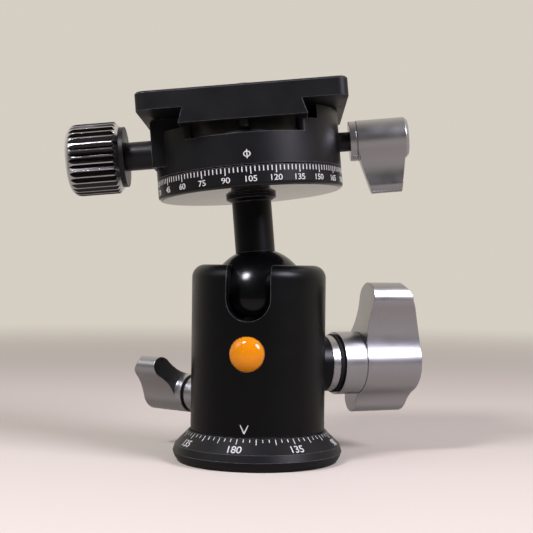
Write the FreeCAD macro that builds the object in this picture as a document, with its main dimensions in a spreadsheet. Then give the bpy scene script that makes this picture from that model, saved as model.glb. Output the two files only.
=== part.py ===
import FreeCAD, Part
import math
import os

import Sketcher

# Tripod ball head, in millimetres and degrees. The origin is the centre of the foot's
# underside, +Z is up, and -Y is the side of the drop notch.
# The head, stem and clamp are drawn about the ball's centre with the stem upright,
# and then leaned over together.

SIZES = {
    # Foot with the engraved dial
    "foot_underside_radius": 25.0,
    "foot_edge_radius": 26.5,
    "foot_edge_height": 3.0,
    "foot_bevel_radius": 25.9,
    "foot_bevel_height": 1.4,
    "dial_cone_low_radius": 25.8,
    "dial_cone_low_height": 5.2,
    "dial_cone_top_radius": 21.5,
    "foot_top_height": 9.5,
    "spindle_radius": 12.0,
    "spindle_top_height": 23.1,
    "insert_radius": 7.0,
    "insert_length": 9.5,
    "thread_wall_radius": 4.06,
    "thread_depth": 8.6,
    "washer_inner_radius": 13.0,
    "washer_outer_radius": 19.5,
    "washer_thickness": 0.6,
    "retainer_radius": 14.0,
    "retainer_thickness": 1.8,
    "retainer_screw_ring": 7.5,
    "retainer_screw_radius": 1.25,
    "retainer_screw_head_radius": 2.3,
    "retainer_screw_length": 7.0,
    # Housing
    "housing_radius": 21.0,
    "housing_bottom_height": 9.75,
    "housing_top_height": 61.0,
    "shoulder_radius": 4.0,
    "cavity_radius": 16.5,
    "ledge_radius": 14.5,
    "ledge_height": 25.3,
    "lip_height": 58.3,
    "lip_gap": 0.3,
    "mouth_chamfer": 0.7,
    "notch_width": 13.5,
    "badge_radius": 5.3,
    "badge_height": 34.4,
    "badge_rim": 0.9,
    "badge_crown": 1.9,
    "badge_floor_depth": 1.0,
    # Ball, its seats and the wedge that squeezes them
    "ball_radius": 15.5,
    "ball_height": 50.8,
    "seat_gap": 0.06,
    "seat_ring_bottom_height": 52.2,
    "cup_rim_height": 43.6,
    "cup_hole_radius": 4.0,
    "cup_bottom_height": 32.0,
    "wedge_seat_thickness": 1.25,
    "wedge_length": 16.0,
    "wedge_width": 12.0,
    "wedge_middle_height": 33.9,
    "wedge_slope": 5.0,
    "slide_gap": 0.05,
    # Main knob
    "main_azimuth": 30.0,
    "main_height": 29.7,
    "main_thread_radius": 2.5,
    "main_flange_radius": 4.5,
    "main_flange_start": 18.6,
    "main_flange_end": 19.8,
    "main_shank_radius": 3.5,
    "main_screw_start": -7.5,
    "main_screw_end": 40.0,
    "main_collar_radius": 8.75,
    "main_collar_start": 18.5,
    "main_collar_end": 22.3,
    "main_ring_radius": 8.95,
    "main_ring_end": 24.8,
    "main_seal_radius": 9.3,
    "main_seal_end": 26.2,
    "main_hub_radius": 10.05,
    "main_hub_end": 33.75,
    "main_groove_width": 0.35,
    "main_groove_depth": 0.4,
    "main_knob_end": 53.8,
    "main_dome_radius": 55.0,
    "main_tip_radius": 27.3,
    "main_tip_corner": 3.6,
    "main_wing_lean": 1.0,
    "main_wing_angle": 18.0,
    "main_bulb_reach": 21.9,
    "main_bulb_radius": 5.3,
    "main_blend_radius": 17.0,
    "main_tail_reach": 12.6,
    "main_tail_radius": 4.4,
    "main_tail_blend": 7.0,
    "main_set_screw_radius": 1.5,
    "main_set_screw_place": 29.8,
    # Pan knob
    "pan_azimuth": 150.0,
    "pan_height": 18.6,
    "pan_thread_radius": 2.0,
    "pan_pad_length": 2.0,
    "pan_pad_gap": 0.3,
    "pan_flange_radius": 3.2,
    "pan_flange_length": 1.5,
    "pan_ring_radius": 5.8,
    "pan_ring_start": 19.0,
    "pan_ring_end": 26.5,
    "pan_seal_radius": 5.3,
    "pan_seal_end": 27.5,
    "pan_hub_radius": 6.3,
    "pan_hub_end": 30.0,
    "pan_screw_end": 36.0,
    "pan_knob_end": 44.7,
    "pan_dome_radius": 36.0,
    "pan_tip_corner": 2.4,
    "pan_tip_radius": 16.8,
    "pan_wing_lean": 2.6,
    "pan_wing_angle": -49.0,
    "pan_bulb_reach": 13.45,
    "pan_bulb_radius": 3.3,
    "pan_blend_radius": 12.0,
    # Stem and dial disc, from the ball's centre up
    "neck_radius": 6.2,
    "neck_top": 30.2,
    "collar_radius": 7.85,
    "collar_bottom": 31.2,
    "foot_gap": 0.08,
    "stem_bore_radius": 3.05,
    "spigot_radius": 4.5,
    "spigot_top": 38.0,
    "bolt_head_radius": 5.2,
    "bolt_head_length": 3.4,
    "bolt_start": 15.7,
    "disc_radius": 29.0,
    "disc_bottom": 32.2,
    "disc_top": 38.3,
    "disc_edge_radius": 1.2,
    "disc_hub_radius": 9.0,
    "disc_hub_top": 44.2,
    "top_washer_inner_radius": 20.0,
    "top_washer_outer_radius": 25.0,
    "top_washer_thickness": 0.58,
    "top_retainer_radius": 12.2,
    "top_retainer_top": 50.9,
    "top_screw_ring": 7.15,
    "top_screw_radius": 1.0,
    "top_screw_head_radius": 1.9,
    "top_screw_length": 10.0,
    # Clamp
    "clamp_bottom": 38.4,
    "clamp_top": 52.0,
    "clamp_edge": 0.35,
    "channel_width": 31.0,
    "channel_depth": 3.9,
    "channel_corner": 1.6,
    "fixed_jaw_front": 22.0,
    "jaw_headroom": 0.5,
    "jaw_bottom": 41.7,
    "jaw_outer": 28.9,
    "jaw_thickness": 4.4,
    "jaw_half_length": 14.0,
    "jaw_corner": 0.8,
    "clamp_axis": 47.5,
    "clamp_thread_radius": 2.5,
    "clamp_screw_start": 16.5,
    "clamp_screw_end": 48.2,
    "spring_radius": 4.0,
    "spring_wall": 0.9,
    "spring_length": 4.1,
    "pin_radius": 1.5,
    "pin_spacing": 19.0,
    "pin_start": 17.0,
    "pin_end": 28.0,
    "sleeve_radius": 4.5,
    "knob_disc_start": 38.3,
    "knob_disc_radius": 9.5,
    "knurl_start": 39.8,
    "knurl_end": 56.5,
    "knurl_radius": 11.35,
    "knurl_chamfer": 1.5,
    "knurl_end_round": 3.5,
    "knurl_groove_depth": 0.8,
    "knurl_groove_width": 1.9,
    # Top lever
    "lever_axis": 46.85,
    "lever_shaft_radius": 3.05,
    "lever_shaft_start": 16.3,
    "lever_shaft_end": 44.2,
    "lever_pad_radius": 1.5,
    "lever_pad_length": 3.7,
    "lever_ring_radius": 6.25,
    "lever_ring_start": 32.2,
    "lever_ring_end": 34.2,
    "lever_hub_radius": 6.4,
    "lever_groove_width": 0.3,
    "lever_end": 50.5,
    "lever_end_chamfer": 0.9,
    "lever_wing_start": 34.9,
    "lever_wing_end": 49.2,
    "lever_wing_slope": 3.3,
    "lever_wing_taper": 1.9,
    "lever_bulb_reach": 14.3,
    "lever_bulb_radius": 2.7,
    "lever_blend_radius": 14.0,
    # Quick-release plate
    "plate_width": 62.6,
    "plate_length": 60.0,
    "plate_bottom": 52.1,
    "dovetail_height": 4.6,
    "slab_thickness": 5.6,
    "plate_corner": 3.0,
    "plate_edge": 0.5,
    "dovetail_width": 38.0,
    "dovetail_inset": 1.5,
    "jaw_clearance": 0.05,
    "camera_thread_radius": 3.17,
    "camera_shank_radius": 2.4,
    "camera_thread_reach": 5.5,
    "camera_head_radius": 7.0,
    "camera_head_length": 3.2,
    "camera_slot_width": 1.4,
    "camera_slot_depth": 1.5,
    "camera_tip_chamfer": 0.75,
    "clip_radius": 4.6,
    "clip_thickness": 0.8,
    "pad_width": 7.0,
    "pad_length": 46.0,
    "pad_spacing": 40.0,
    "pad_recess": 0.8,
    "pad_height": 1.1,
    "stop_radius": 1.65,
    "stop_length": 2.0,
    "stop_spacing": 51.0,
    "stop_thread_radius": 1.0,
    "stop_thread_length": 3.0,
    # Fits and the rest pose
    "running_gap": 0.05,
    "close_gap": 0.02,
    "side_lean": -5.26,
    "back_lean": -1.1,
    "clamp_yaw": 8.1,
}
KNURL_COUNT = 33
TOOL_REACH = 40.0

document = FreeCAD.newDocument("BallHead")
sheet = document.addObject("Spreadsheet::Sheet", "Sizes")
for row, (alias, number) in enumerate(SIZES.items(), start=1):
    sheet.set("A%d" % row, alias)
    sheet.set("B%d" % row, str(number))
    sheet.setAlias("B%d" % row, alias)
document.recompute()


class Size:
    """A length or angle that holds its value and the sheet expression that gives it."""

    def __init__(self, value, text=None):
        self.value = float(value)
        self.text = text or "%.9g" % value

    def __add__(self, other):
        other = as_size(other)
        return Size(self.value + other.value, "(%s + %s)" % (self.text, other.text))

    def __radd__(self, other):
        return as_size(other) + self

    def __sub__(self, other):
        other = as_size(other)
        return Size(self.value - other.value, "(%s - %s)" % (self.text, other.text))

    def __rsub__(self, other):
        return as_size(other) - self

    def __mul__(self, other):
        other = as_size(other)
        return Size(self.value * other.value, "(%s * %s)" % (self.text, other.text))

    def __rmul__(self, other):
        return as_size(other) * self

    def __truediv__(self, other):
        other = as_size(other)
        return Size(self.value / other.value, "(%s / %s)" % (self.text, other.text))

    def __neg__(self):
        return Size(-self.value, "(0 - %s)" % self.text)


def as_size(number):
    """The number as a Size."""
    return number if isinstance(number, Size) else Size(number)


def root(size):
    """The square root of a Size."""
    return Size(math.sqrt(size.value), "sqrt(%s)" % size.text)


def tangent(size):
    """The tangent of an angle in degrees."""
    return Size(math.tan(math.radians(size.value)), "tan(%s)" % size.text)


def leg(hypotenuse, side):
    """The other short side of a right triangle."""
    return root(hypotenuse * hypotenuse - side * side)


class Sizes:
    """Gives each size of the sheet by its alias."""

    def __getattr__(self, alias):
        return Size(SIZES[alias], "Sizes." + alias)


S = Sizes()
subparts = []


def name_of(label, piece):
    """A document name for one piece of a sub-part."""
    return (label + " " + piece).title().replace("_", "").replace(" ", "")


def bind(feature, **sizes):
    """Tie properties of a feature to expressions of the sheet."""
    for prop, size in sizes.items():
        feature.setExpression(prop, as_size(size).text)


def move(feature, along_x=0, along_y=0, along_z=0, turn=None):
    """Place a feature in its sub-part's own frame, tied to the sheet."""
    feature.Placement = FreeCAD.Placement(FreeCAD.Vector(0, 0, 0), turn or FreeCAD.Rotation())
    for axis, size in (("x", along_x), ("y", along_y), ("z", along_z)):
        feature.setExpression("Placement.Base." + axis, as_size(size).text)
    return feature


ABOUT_X = FreeCAD.Rotation(FreeCAD.Vector(0, 1, 0), 90)
ABOUT_Y = FreeCAD.Rotation(FreeCAD.Vector(1, 0, 0), -90)


class Outline:
    """A closed outline of straight and round edges whose corners are tied to the sheet."""

    def __init__(self, x, y):
        self.corners = [(as_size(x), as_size(y))]
        self.edges = []

    def line(self, x, y):
        self.corners.append((as_size(x), as_size(y)))
        self.edges.append(None)
        return self

    def arc(self, x, y, radius, turn):
        """An arc of less than half a turn: turn is 1 for left about, -1 for right about."""
        self.corners.append((as_size(x), as_size(y)))
        self.edges.append((as_size(radius), turn))
        return self

    def close(self, edge=None):
        """Close with a straight edge, or with an arc given as (radius, turn)."""
        self.edges.append(edge and (as_size(edge[0]), edge[1]))
        return self

    def draw(self, sketch):
        """Put the outline in a sketch."""
        count = len(self.corners)
        ends = []
        for index, edge in enumerate(self.edges):
            first = self.corners[index]
            second = self.corners[(index + 1) % count]
            start = FreeCAD.Vector(first[0].value, first[1].value, 0)
            end = FreeCAD.Vector(second[0].value, second[1].value, 0)
            if edge is None:
                geometry = sketch.addGeometry(Part.LineSegment(start, end), False)
                ends.append((geometry, 1, 2))
                continue
            radius, turn = edge
            chord = end - start
            rise = math.sqrt(radius.value ** 2 - (chord.Length / 2) ** 2)
            side = FreeCAD.Vector(-chord.y, chord.x, 0).normalize() * (rise * turn)
            centre = start + chord / 2 + side
            angles = [math.atan2(p.y - centre.y, p.x - centre.x) for p in (start, end)]
            if turn < 0:
                angles.reverse()
            if angles[1] < angles[0]:
                angles[1] += 2 * math.pi
            circle = Part.Circle(centre, FreeCAD.Vector(0, 0, 1), radius.value)
            geometry = sketch.addGeometry(Part.ArcOfCircle(circle, angles[0], angles[1]), False)
            ends.append((geometry, 1, 2) if turn > 0 else (geometry, 2, 1))
        for index in range(count):
            here = ends[index]
            after = ends[(index + 1) % count]
            sketch.addConstraint(Sketcher.Constraint("Coincident", here[0], here[2], after[0], after[1]))
        for index, (x, y) in enumerate(self.corners):
            geometry, vertex, _ = ends[index]
            for kind, size, axis in (("DistanceX", x, -2), ("DistanceY", y, -1)):
                if size.text == "0":
                    sketch.addConstraint(Sketcher.Constraint("PointOnObject", geometry, vertex, axis))
                    continue
                place = Sketcher.Constraint(kind, -1, 1, geometry, vertex, size.value)
                sketch.setExpression("Constraints[%d]" % sketch.addConstraint(place), size.text)
        for index, edge in enumerate(self.edges):
            if edge is not None:
                place = Sketcher.Constraint("Radius", ends[index][0], edge[0].value)
                sketch.setExpression("Constraints[%d]" % sketch.addConstraint(place), edge[0].text)


def sketch_on(body, plane_role, outline, name):
    """A sketch of the outline on one of the body's own planes."""
    sketch = body.newObject("Sketcher::SketchObject", name)
    plane = [item for item in body.Origin.OriginFeatures if item.Role == plane_role][0]
    sketch.AttachmentSupport = (plane, [""])
    sketch.MapMode = "FlatFace"
    outline.draw(sketch)
    return sketch


def lathe(label, piece, outline):
    """A body turned about Z from an outline of radius and height."""
    body = document.addObject("PartDesign::Body", name_of(label, piece))
    sketch = sketch_on(body, "XZ_Plane", outline, body.Name + "Profile")
    turned = body.newObject("PartDesign::Revolution", body.Name + "Turned")
    turned.Profile = sketch
    turned.ReferenceAxis = (sketch, ["V_Axis"])
    turned.Angle = 360
    body.Tip = turned
    return body


def prism(label, piece, outline, length, plane_role="XY_Plane", both_ways=False):
    """A body pushed out from an outline."""
    body = document.addObject("PartDesign::Body", name_of(label, piece))
    sketch = sketch_on(body, plane_role, outline, body.Name + "Profile")
    pad = body.newObject("PartDesign::Pad", body.Name + "Pad")
    pad.Profile = sketch
    if both_ways:
        pad.SideType = "Symmetric"
    bind(pad, Length=length)
    body.Tip = pad
    return body


def rod(label, piece, radius, length):
    """A cylinder along Z from its own origin."""
    feature = document.addObject("Part::Cylinder", name_of(label, piece))
    bind(feature, Radius=radius, Height=length)
    return feature


def block(label, piece, width, depth, height):
    """A box whose lowest corner is its own origin."""
    feature = document.addObject("Part::Box", name_of(label, piece))
    bind(feature, Length=width, Width=depth, Height=height)
    return feature


def join(label, piece, *features):
    """The features as one solid."""
    feature = document.addObject("Part::MultiFuse", name_of(label, piece))
    feature.Shapes = list(features)
    feature.Refine = True
    return feature


def group(label, piece, *features):
    """The features side by side, as separate solids."""
    feature = document.addObject("Part::Compound", name_of(label, piece))
    feature.Links = list(features)
    return feature


def cut(label, piece, base, *tools):
    """The base less the tools."""
    feature = document.addObject("Part::Cut", name_of(label, piece))
    feature.Base = base
    feature.Tool = tools[0] if len(tools) == 1 else group(label, piece + " tools", *tools)
    return feature


def overlap(label, piece, first, second):
    """What two features share."""
    feature = document.addObject("Part::Common", name_of(label, piece))
    feature.Base = first
    feature.Tool = second
    return feature


def top_face(feature):
    """The name of a feature's highest flat face, once it is rebuilt."""
    document.recompute()
    heights = [face.CenterOfMass.z for face in feature.Shape.Faces]
    return "Face%d" % (heights.index(max(heights)) + 1)


def finish(label, feature, placement=None):
    """Name a sub-part and put it in its place."""
    feature.Label = label
    feature.Placement = placement or FreeCAD.Placement()
    subparts.append(feature)
    return feature


def tube(label, piece, inner, outer, low, high):
    """A plain ring about Z."""
    outline = Outline(inner, low).line(outer, low).line(outer, high).line(inner, high).close()
    return lathe(label, piece, outline)


def facing(azimuth, height, towards=1):
    """A frame whose Z points out at an azimuth, whose X is up, at a height on the main axis."""
    angle = math.radians(azimuth)
    out = FreeCAD.Vector(math.cos(angle), math.sin(angle), 0) * towards
    up = FreeCAD.Vector(0, 0, 1)
    turn = FreeCAD.Rotation(up, out.cross(up), out, "ZXY")
    return FreeCAD.Placement(FreeCAD.Vector(0, 0, height), turn)


def value(alias):
    """The number of a driving size."""
    return SIZES[alias]


lean = FreeCAD.Rotation(FreeCAD.Vector(0, 1, 0), value("side_lean"))
lean = lean.multiply(FreeCAD.Rotation(FreeCAD.Vector(1, 0, 0), value("back_lean")))
STEM = FreeCAD.Placement(FreeCAD.Vector(0, 0, value("ball_height")), lean)
CLAMP = STEM.multiply(FreeCAD.Placement(FreeCAD.Vector(0, 0, 0),
                                        FreeCAD.Rotation(FreeCAD.Vector(0, 0, 1), value("clamp_yaw"))))
MAIN_AXIS = facing(value("main_azimuth"), value("main_height"))
PAN_AXIS = facing(value("pan_azimuth"), value("pan_height"))
JAW_AXIS = CLAMP.multiply(facing(180, value("clamp_axis")))
LEVER_AXIS = CLAMP.multiply(facing(0, value("lever_axis")))
BADGE_AXIS = facing(-90, value("badge_height"))


def ring_of_holes(label, piece, radius, ring, length, low, count=3):
    """Upright cylinders spaced evenly on a circle, starting at a height."""
    holes = []
    for number in range(count):
        angle = Size(360.0 * number / count)
        hole = rod(label, "%s %d" % (piece, number), radius, length)
        across = Size(math.cos(math.radians(angle.value)))
        along = Size(math.sin(math.radians(angle.value)))
        holes.append(move(hole, ring * across, ring * along, low))
    return holes


def ring_of_screws(label, radius, head_radius, ring, length, top):
    """Countersunk screws on a circle, with their heads level with a height."""
    head_length = head_radius - radius
    screws = []
    for number in range(3):
        angle = math.radians(120.0 * number)
        outline = Outline(0, -length).line(radius, -length).line(radius, -head_length)
        outline.line(head_radius, 0).line(0, 0).close()
        screw = lathe(label, "screw %d" % number, outline)
        screws.append(move(screw, ring * Size(math.cos(angle)), ring * Size(math.sin(angle)), top))
    return screws


def countersinks(label, radius, head_radius, ring, length, top):
    """The holes for such screws."""
    return ring_of_screws(label, radius + S.close_gap, head_radius + S.close_gap, ring,
                          length + S.slide_gap, top)


# Foot: a low cone with a spindle that the housing turns on

foot_outline = Outline(0, 0).line(S.foot_underside_radius, 0)
foot_outline.line(S.foot_bevel_radius, S.foot_bevel_height)
foot_outline.line(S.foot_edge_radius, S.foot_edge_height)
foot_outline.line(S.dial_cone_low_radius, S.dial_cone_low_height)
foot_outline.line(S.dial_cone_top_radius, S.foot_top_height)
foot_outline.line(S.spindle_radius, S.foot_top_height)
foot_outline.line(S.spindle_radius, S.spindle_top_height).line(0, S.spindle_top_height).close()
foot = lathe("base_plate", "disc", foot_outline)
insert_pocket = rod("base_plate", "insert pocket", S.insert_radius, S.insert_length)
retainer_top = S.spindle_top_height + S.retainer_thickness
foot_screw_holes = countersinks("base_plate", S.retainer_screw_radius, S.retainer_screw_head_radius,
                                S.retainer_screw_ring, S.retainer_screw_length, retainer_top)
finish("base_plate", cut("base_plate", "part", foot, insert_pocket, *foot_screw_holes))

insert_outline = Outline(S.thread_wall_radius, 0).line(S.insert_radius, 0)
insert_outline.line(S.insert_radius, S.insert_length).line(0, S.insert_length)
insert_outline.line(0, S.thread_depth).line(S.thread_wall_radius, S.thread_depth).close()
finish("thread_insert", lathe("thread_insert", "part", insert_outline))

washer_top = S.foot_top_height + S.washer_thickness
finish("base_washer", tube("base_washer", "part", S.washer_inner_radius, S.washer_outer_radius,
                           S.foot_top_height, washer_top))

retainer = rod("base_retainer", "disc", S.retainer_radius, S.retainer_thickness)
move(retainer, 0, 0, S.spindle_top_height)
retainer_holes = countersinks("base_retainer", S.retainer_screw_radius, S.retainer_screw_head_radius,
                              S.retainer_screw_ring, S.retainer_screw_length, retainer_top)
finish("base_retainer", cut("base_retainer", "part", retainer, *retainer_holes))
finish("retainer_screws", group("retainer_screws", "part", *ring_of_screws(
    "retainer_screws", S.retainer_screw_radius, S.retainer_screw_head_radius,
    S.retainer_screw_ring, S.retainer_screw_length, retainer_top)))


# Housing: a turned barrel with a bored cavity, a drop notch and two bosses

spindle_bore = S.spindle_radius + S.running_gap
cavity_floor = S.spindle_top_height - S.running_gap
washer_room = S.running_gap
mouth_radius = S.ball_radius + S.lip_gap
mouth_low = S.lip_height - S.ball_height
mouth_high = S.housing_top_height - S.mouth_chamfer - S.ball_height
barrel_outline = Outline(spindle_bore, S.housing_bottom_height)
barrel_outline.line(S.washer_inner_radius - washer_room, S.housing_bottom_height)
barrel_outline.line(S.washer_inner_radius - washer_room, washer_top + washer_room)
barrel_outline.line(S.washer_outer_radius + washer_room, washer_top + washer_room)
barrel_outline.line(S.washer_outer_radius + washer_room, S.housing_bottom_height)
barrel_outline.line(S.housing_radius, S.housing_bottom_height)
barrel_outline.line(S.housing_radius, S.housing_top_height - S.shoulder_radius)
barrel_outline.arc(S.housing_radius - S.shoulder_radius, S.housing_top_height, S.shoulder_radius, 1)
barrel_outline.line(leg(mouth_radius, mouth_high) + S.mouth_chamfer, S.housing_top_height)
barrel_outline.line(leg(mouth_radius, mouth_high), S.housing_top_height - S.mouth_chamfer)
barrel_outline.arc(leg(mouth_radius, mouth_low), S.lip_height, mouth_radius, -1)
barrel_outline.line(S.cavity_radius, S.lip_height).line(S.cavity_radius, S.ledge_height)
barrel_outline.line(S.ledge_radius, S.ledge_height).line(S.ledge_radius, cavity_floor)
barrel_outline.line(spindle_bore, cavity_floor).close()
barrel = lathe("housing", "barrel", barrel_outline)


def notch_tool(label):
    """The slot with a round bottom that the neck drops into, cut from the main axis out to -Y."""
    half = S.notch_width / 2
    top = S.housing_top_height - S.ball_height + 1
    outline = Outline(-half, 0).arc(0, -half, half, 1).arc(half, 0, half, 1)
    outline.line(half, top).line(-half, top).close()
    slot = prism(label, "notch", outline, TOOL_REACH, "XZ_Plane")
    return move(slot, 0, 0, S.ball_height)


main_counterbore = rod("housing", "main counterbore", S.main_collar_radius + S.close_gap, TOOL_REACH)
main_counterbore.Placement = MAIN_AXIS.multiply(
    FreeCAD.Placement(FreeCAD.Vector(0, 0, value("main_collar_start")), FreeCAD.Rotation()))
main_bore = rod("housing", "main bore", S.main_thread_radius + S.running_gap, TOOL_REACH)
main_bore.Placement = MAIN_AXIS
pan_counterbore = rod("housing", "pan counterbore", S.pan_ring_radius + S.close_gap, TOOL_REACH)
pan_counterbore.Placement = PAN_AXIS.multiply(
    FreeCAD.Placement(FreeCAD.Vector(0, 0, value("pan_ring_start")), FreeCAD.Rotation()))
pan_bore = rod("housing", "pan bore", S.pan_thread_radius + S.running_gap, TOOL_REACH)
pan_bore.Placement = PAN_AXIS
badge_pocket = rod("housing", "badge pocket", S.badge_radius + S.close_gap, TOOL_REACH)
badge_floor = value("housing_radius") - value("badge_floor_depth")
badge_pocket.Placement = BADGE_AXIS.multiply(
    FreeCAD.Placement(FreeCAD.Vector(0, 0, badge_floor), FreeCAD.Rotation()))
finish("housing", cut("housing", "part", barrel, notch_tool("housing"), main_counterbore, main_bore,
                      pan_counterbore, pan_bore, badge_pocket))

crown = S.badge_crown - S.badge_rim
crown_radius = (S.badge_radius * S.badge_radius + crown * crown) / (2 * crown)
badge_outline = Outline(0, 0).line(S.badge_radius, 0).line(S.badge_radius, S.badge_rim)
badge_outline.arc(0, S.badge_crown, crown_radius, 1).close()
finish("badge", lathe("badge", "part", badge_outline),
       BADGE_AXIS.multiply(FreeCAD.Placement(FreeCAD.Vector(0, 0, badge_floor), FreeCAD.Rotation())))

# Ball and its seats

ball_outline = Outline(0, -S.ball_radius).arc(S.ball_radius, 0, S.ball_radius, 1)
ball_outline.arc(0, S.ball_radius, S.ball_radius, 1).close()
finish("ball", lathe("ball", "part", ball_outline),
       FreeCAD.Placement(FreeCAD.Vector(0, 0, value("ball_height")), FreeCAD.Rotation()))

seat_radius = S.ball_radius + S.seat_gap
seat_low = S.seat_ring_bottom_height - S.ball_height
seat_outer = S.cavity_radius - S.close_gap
seat_outline = Outline(leg(seat_radius, seat_low), S.seat_ring_bottom_height)
seat_outline.line(seat_outer, S.seat_ring_bottom_height).line(seat_outer, S.lip_height)
seat_outline.line(leg(seat_radius, mouth_low), S.lip_height).close((seat_radius, -1))
seat_blank = lathe("seat_ring", "blank", seat_outline)
finish("seat_ring", cut("seat_ring", "part", seat_blank, notch_tool("seat_ring")))

cup_high = S.ball_height - S.cup_rim_height
cup_outer = S.cavity_radius - S.running_gap
cup_outline = Outline(S.cup_hole_radius, S.cup_bottom_height).line(cup_outer, S.cup_bottom_height)
cup_outline.line(cup_outer, S.cup_rim_height).line(leg(seat_radius, cup_high), S.cup_rim_height)
cup_outline.arc(S.cup_hole_radius, S.ball_height - leg(seat_radius, S.cup_hole_radius),
                seat_radius, -1).close()
cup_blank = lathe("pressure_cup", "blank", cup_outline)


def wedge_side(gap, low, reach):
    """The outline of the wedge, thick at its inner end, from a floor up to the slope."""
    slope = tangent(S.wedge_slope)
    high = S.wedge_middle_height + gap
    outline = Outline(-reach, low).line(reach, low).line(reach, high - reach * slope)
    outline.line(-reach, high + reach * slope).close()
    return outline


main_turn = FreeCAD.Rotation(FreeCAD.Vector(0, 0, 1), value("main_azimuth"))
under_cup = prism("pressure_cup", "slope", wedge_side(S.slide_gap, S.ledge_height, S.cavity_radius + 1),
                  2 * S.cavity_radius + 2, "XZ_Plane", True)
under_cup.Placement = FreeCAD.Placement(FreeCAD.Vector(0, 0, 0), main_turn)
finish("pressure_cup", cut("pressure_cup", "part", cup_blank, under_cup))

seat_disc = rod("wedge_seat", "part", S.cavity_radius - S.close_gap, S.wedge_seat_thickness)
finish("wedge_seat", seat_disc,
       FreeCAD.Placement(FreeCAD.Vector(0, 0, value("ledge_height")), FreeCAD.Rotation()))

wedge_low = S.ledge_height + S.wedge_seat_thickness + S.slide_gap
wedge_blank = prism("clamp_wedge", "blank", wedge_side(0, wedge_low, S.wedge_length / 2), S.wedge_width,
                    "XZ_Plane", True)
wedge_bore = rod("clamp_wedge", "bore", S.main_thread_radius + S.running_gap, 2 * S.wedge_length)
move(wedge_bore, -S.wedge_length, 0, S.main_height, ABOUT_X)
finish("clamp_wedge", cut("clamp_wedge", "part", wedge_blank, wedge_bore),
       FreeCAD.Placement(FreeCAD.Vector(0, 0, 0), main_turn))


# Winged knobs

def wing_corners(hub, reach, bulb, blend):
    """Where a hollow of the blend radius touches the hub and the bulb: (x, y) on each."""
    along = (reach * reach + (hub + blend) * (hub + blend) - (bulb + blend) * (bulb + blend)) / (2 * reach)
    across = leg(hub + blend, along)
    on_hub = (along * hub / (hub + blend), across * hub / (hub + blend))
    share = bulb / (bulb + blend)
    on_bulb = (reach + (along - reach) * share, across * share)
    return on_hub, on_bulb


def winged_outline(hub, reach, bulb, blend, tail=None):
    """A hub with a bulbed wing along +X, and with tail=(reach, bulb, blend) a short one along -X."""
    on_hub, on_bulb = wing_corners(hub, reach, bulb, blend)
    outline = Outline(on_bulb[0], -on_bulb[1]).arc(reach + bulb, 0, bulb, 1)
    outline.arc(on_bulb[0], on_bulb[1], bulb, 1).arc(on_hub[0], on_hub[1], blend, -1)
    if tail is None:
        outline.arc(-hub, 0, hub, 1).arc(on_hub[0], -on_hub[1], hub, 1)
    else:
        tail_reach, tail_bulb, tail_blend = tail
        at_hub, at_bulb = wing_corners(hub, tail_reach, tail_bulb, tail_blend)
        outline.arc(-at_hub[0], at_hub[1], hub, 1).arc(-at_bulb[0], at_bulb[1], tail_blend, -1)
        outline.arc(-tail_reach - tail_bulb, 0, tail_bulb, 1).arc(-at_bulb[0], -at_bulb[1], tail_bulb, 1)
        outline.arc(-at_hub[0], -at_hub[1], tail_blend, -1).arc(on_hub[0], -on_hub[1], hub, 1)
    return outline.close((blend, -1))


def winged_knob(label, prefix, wing_angle, back, neck_end, screw_radius, tail=None):
    """A knob with a domed end: a round hub from back to neck_end, then the winged part."""
    def size(name):
        return getattr(S, prefix + name)

    hub = size("hub_radius")
    end = size("knob_end")
    dome = size("dome_radius")
    tip = size("tip_radius")
    corner = size("tip_corner")
    flat = tip - corner
    dome_drop = dome - leg(dome, flat)
    blade = prism(label, "blade", winged_outline(hub, size("bulb_reach"), size("bulb_radius"),
                                                 size("blend_radius"), tail), end - neck_end)
    move(blade, 0, 0, neck_end, FreeCAD.Rotation(FreeCAD.Vector(0, 0, 1), wing_angle))
    outline = Outline(0, neck_end).line(hub, neck_end)
    outline.line(tip, neck_end + size("wing_lean")).line(tip, end - dome_drop - corner)
    outline.arc(flat, end - dome_drop, corner, 1).arc(0, end, dome, 1).close()
    shaped = overlap(label, "shaped", blade, lathe(label, "envelope", outline))
    neck = rod(label, "neck", hub, neck_end - back)
    move(neck, 0, 0, back)
    solid = join(label, "solid", shaped, neck)
    bore = rod(label, "bore", screw_radius + S.close_gap, size("screw_end") + S.slide_gap - back)
    return solid, move(bore, 0, 0, back)


knob_solid, knob_bore = winged_knob("main_knob", "main_", value("main_wing_angle"), S.main_seal_end,
                                    S.main_hub_end, S.main_shank_radius,
                                    (S.main_tail_reach, S.main_tail_radius, S.main_tail_blend))
knob_groove = tube("main_knob", "groove", S.main_hub_radius - S.main_groove_depth, S.main_hub_radius + 1,
                   S.main_hub_end - S.main_groove_width, S.main_hub_end)
set_screw_hole = rod("main_knob", "set screw hole", S.main_set_screw_radius + S.close_gap,
                     S.main_hub_radius + 1)
away = FreeCAD.Rotation(FreeCAD.Vector(1, 0, 0), 90)
move(set_screw_hole, 0, 0, S.main_set_screw_place, away)
finish("main_knob", cut("main_knob", "part", knob_solid, knob_bore, knob_groove, set_screw_hole), MAIN_AXIS)

set_screw = rod("knob_set_screw", "blank", S.main_set_screw_radius,
                S.main_hub_radius - S.main_shank_radius - S.main_set_screw_radius)
move(set_screw, 0, -S.main_shank_radius - S.slide_gap, S.main_set_screw_place, away)
finish("knob_set_screw", group("knob_set_screw", "part", set_screw), MAIN_AXIS)

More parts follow.
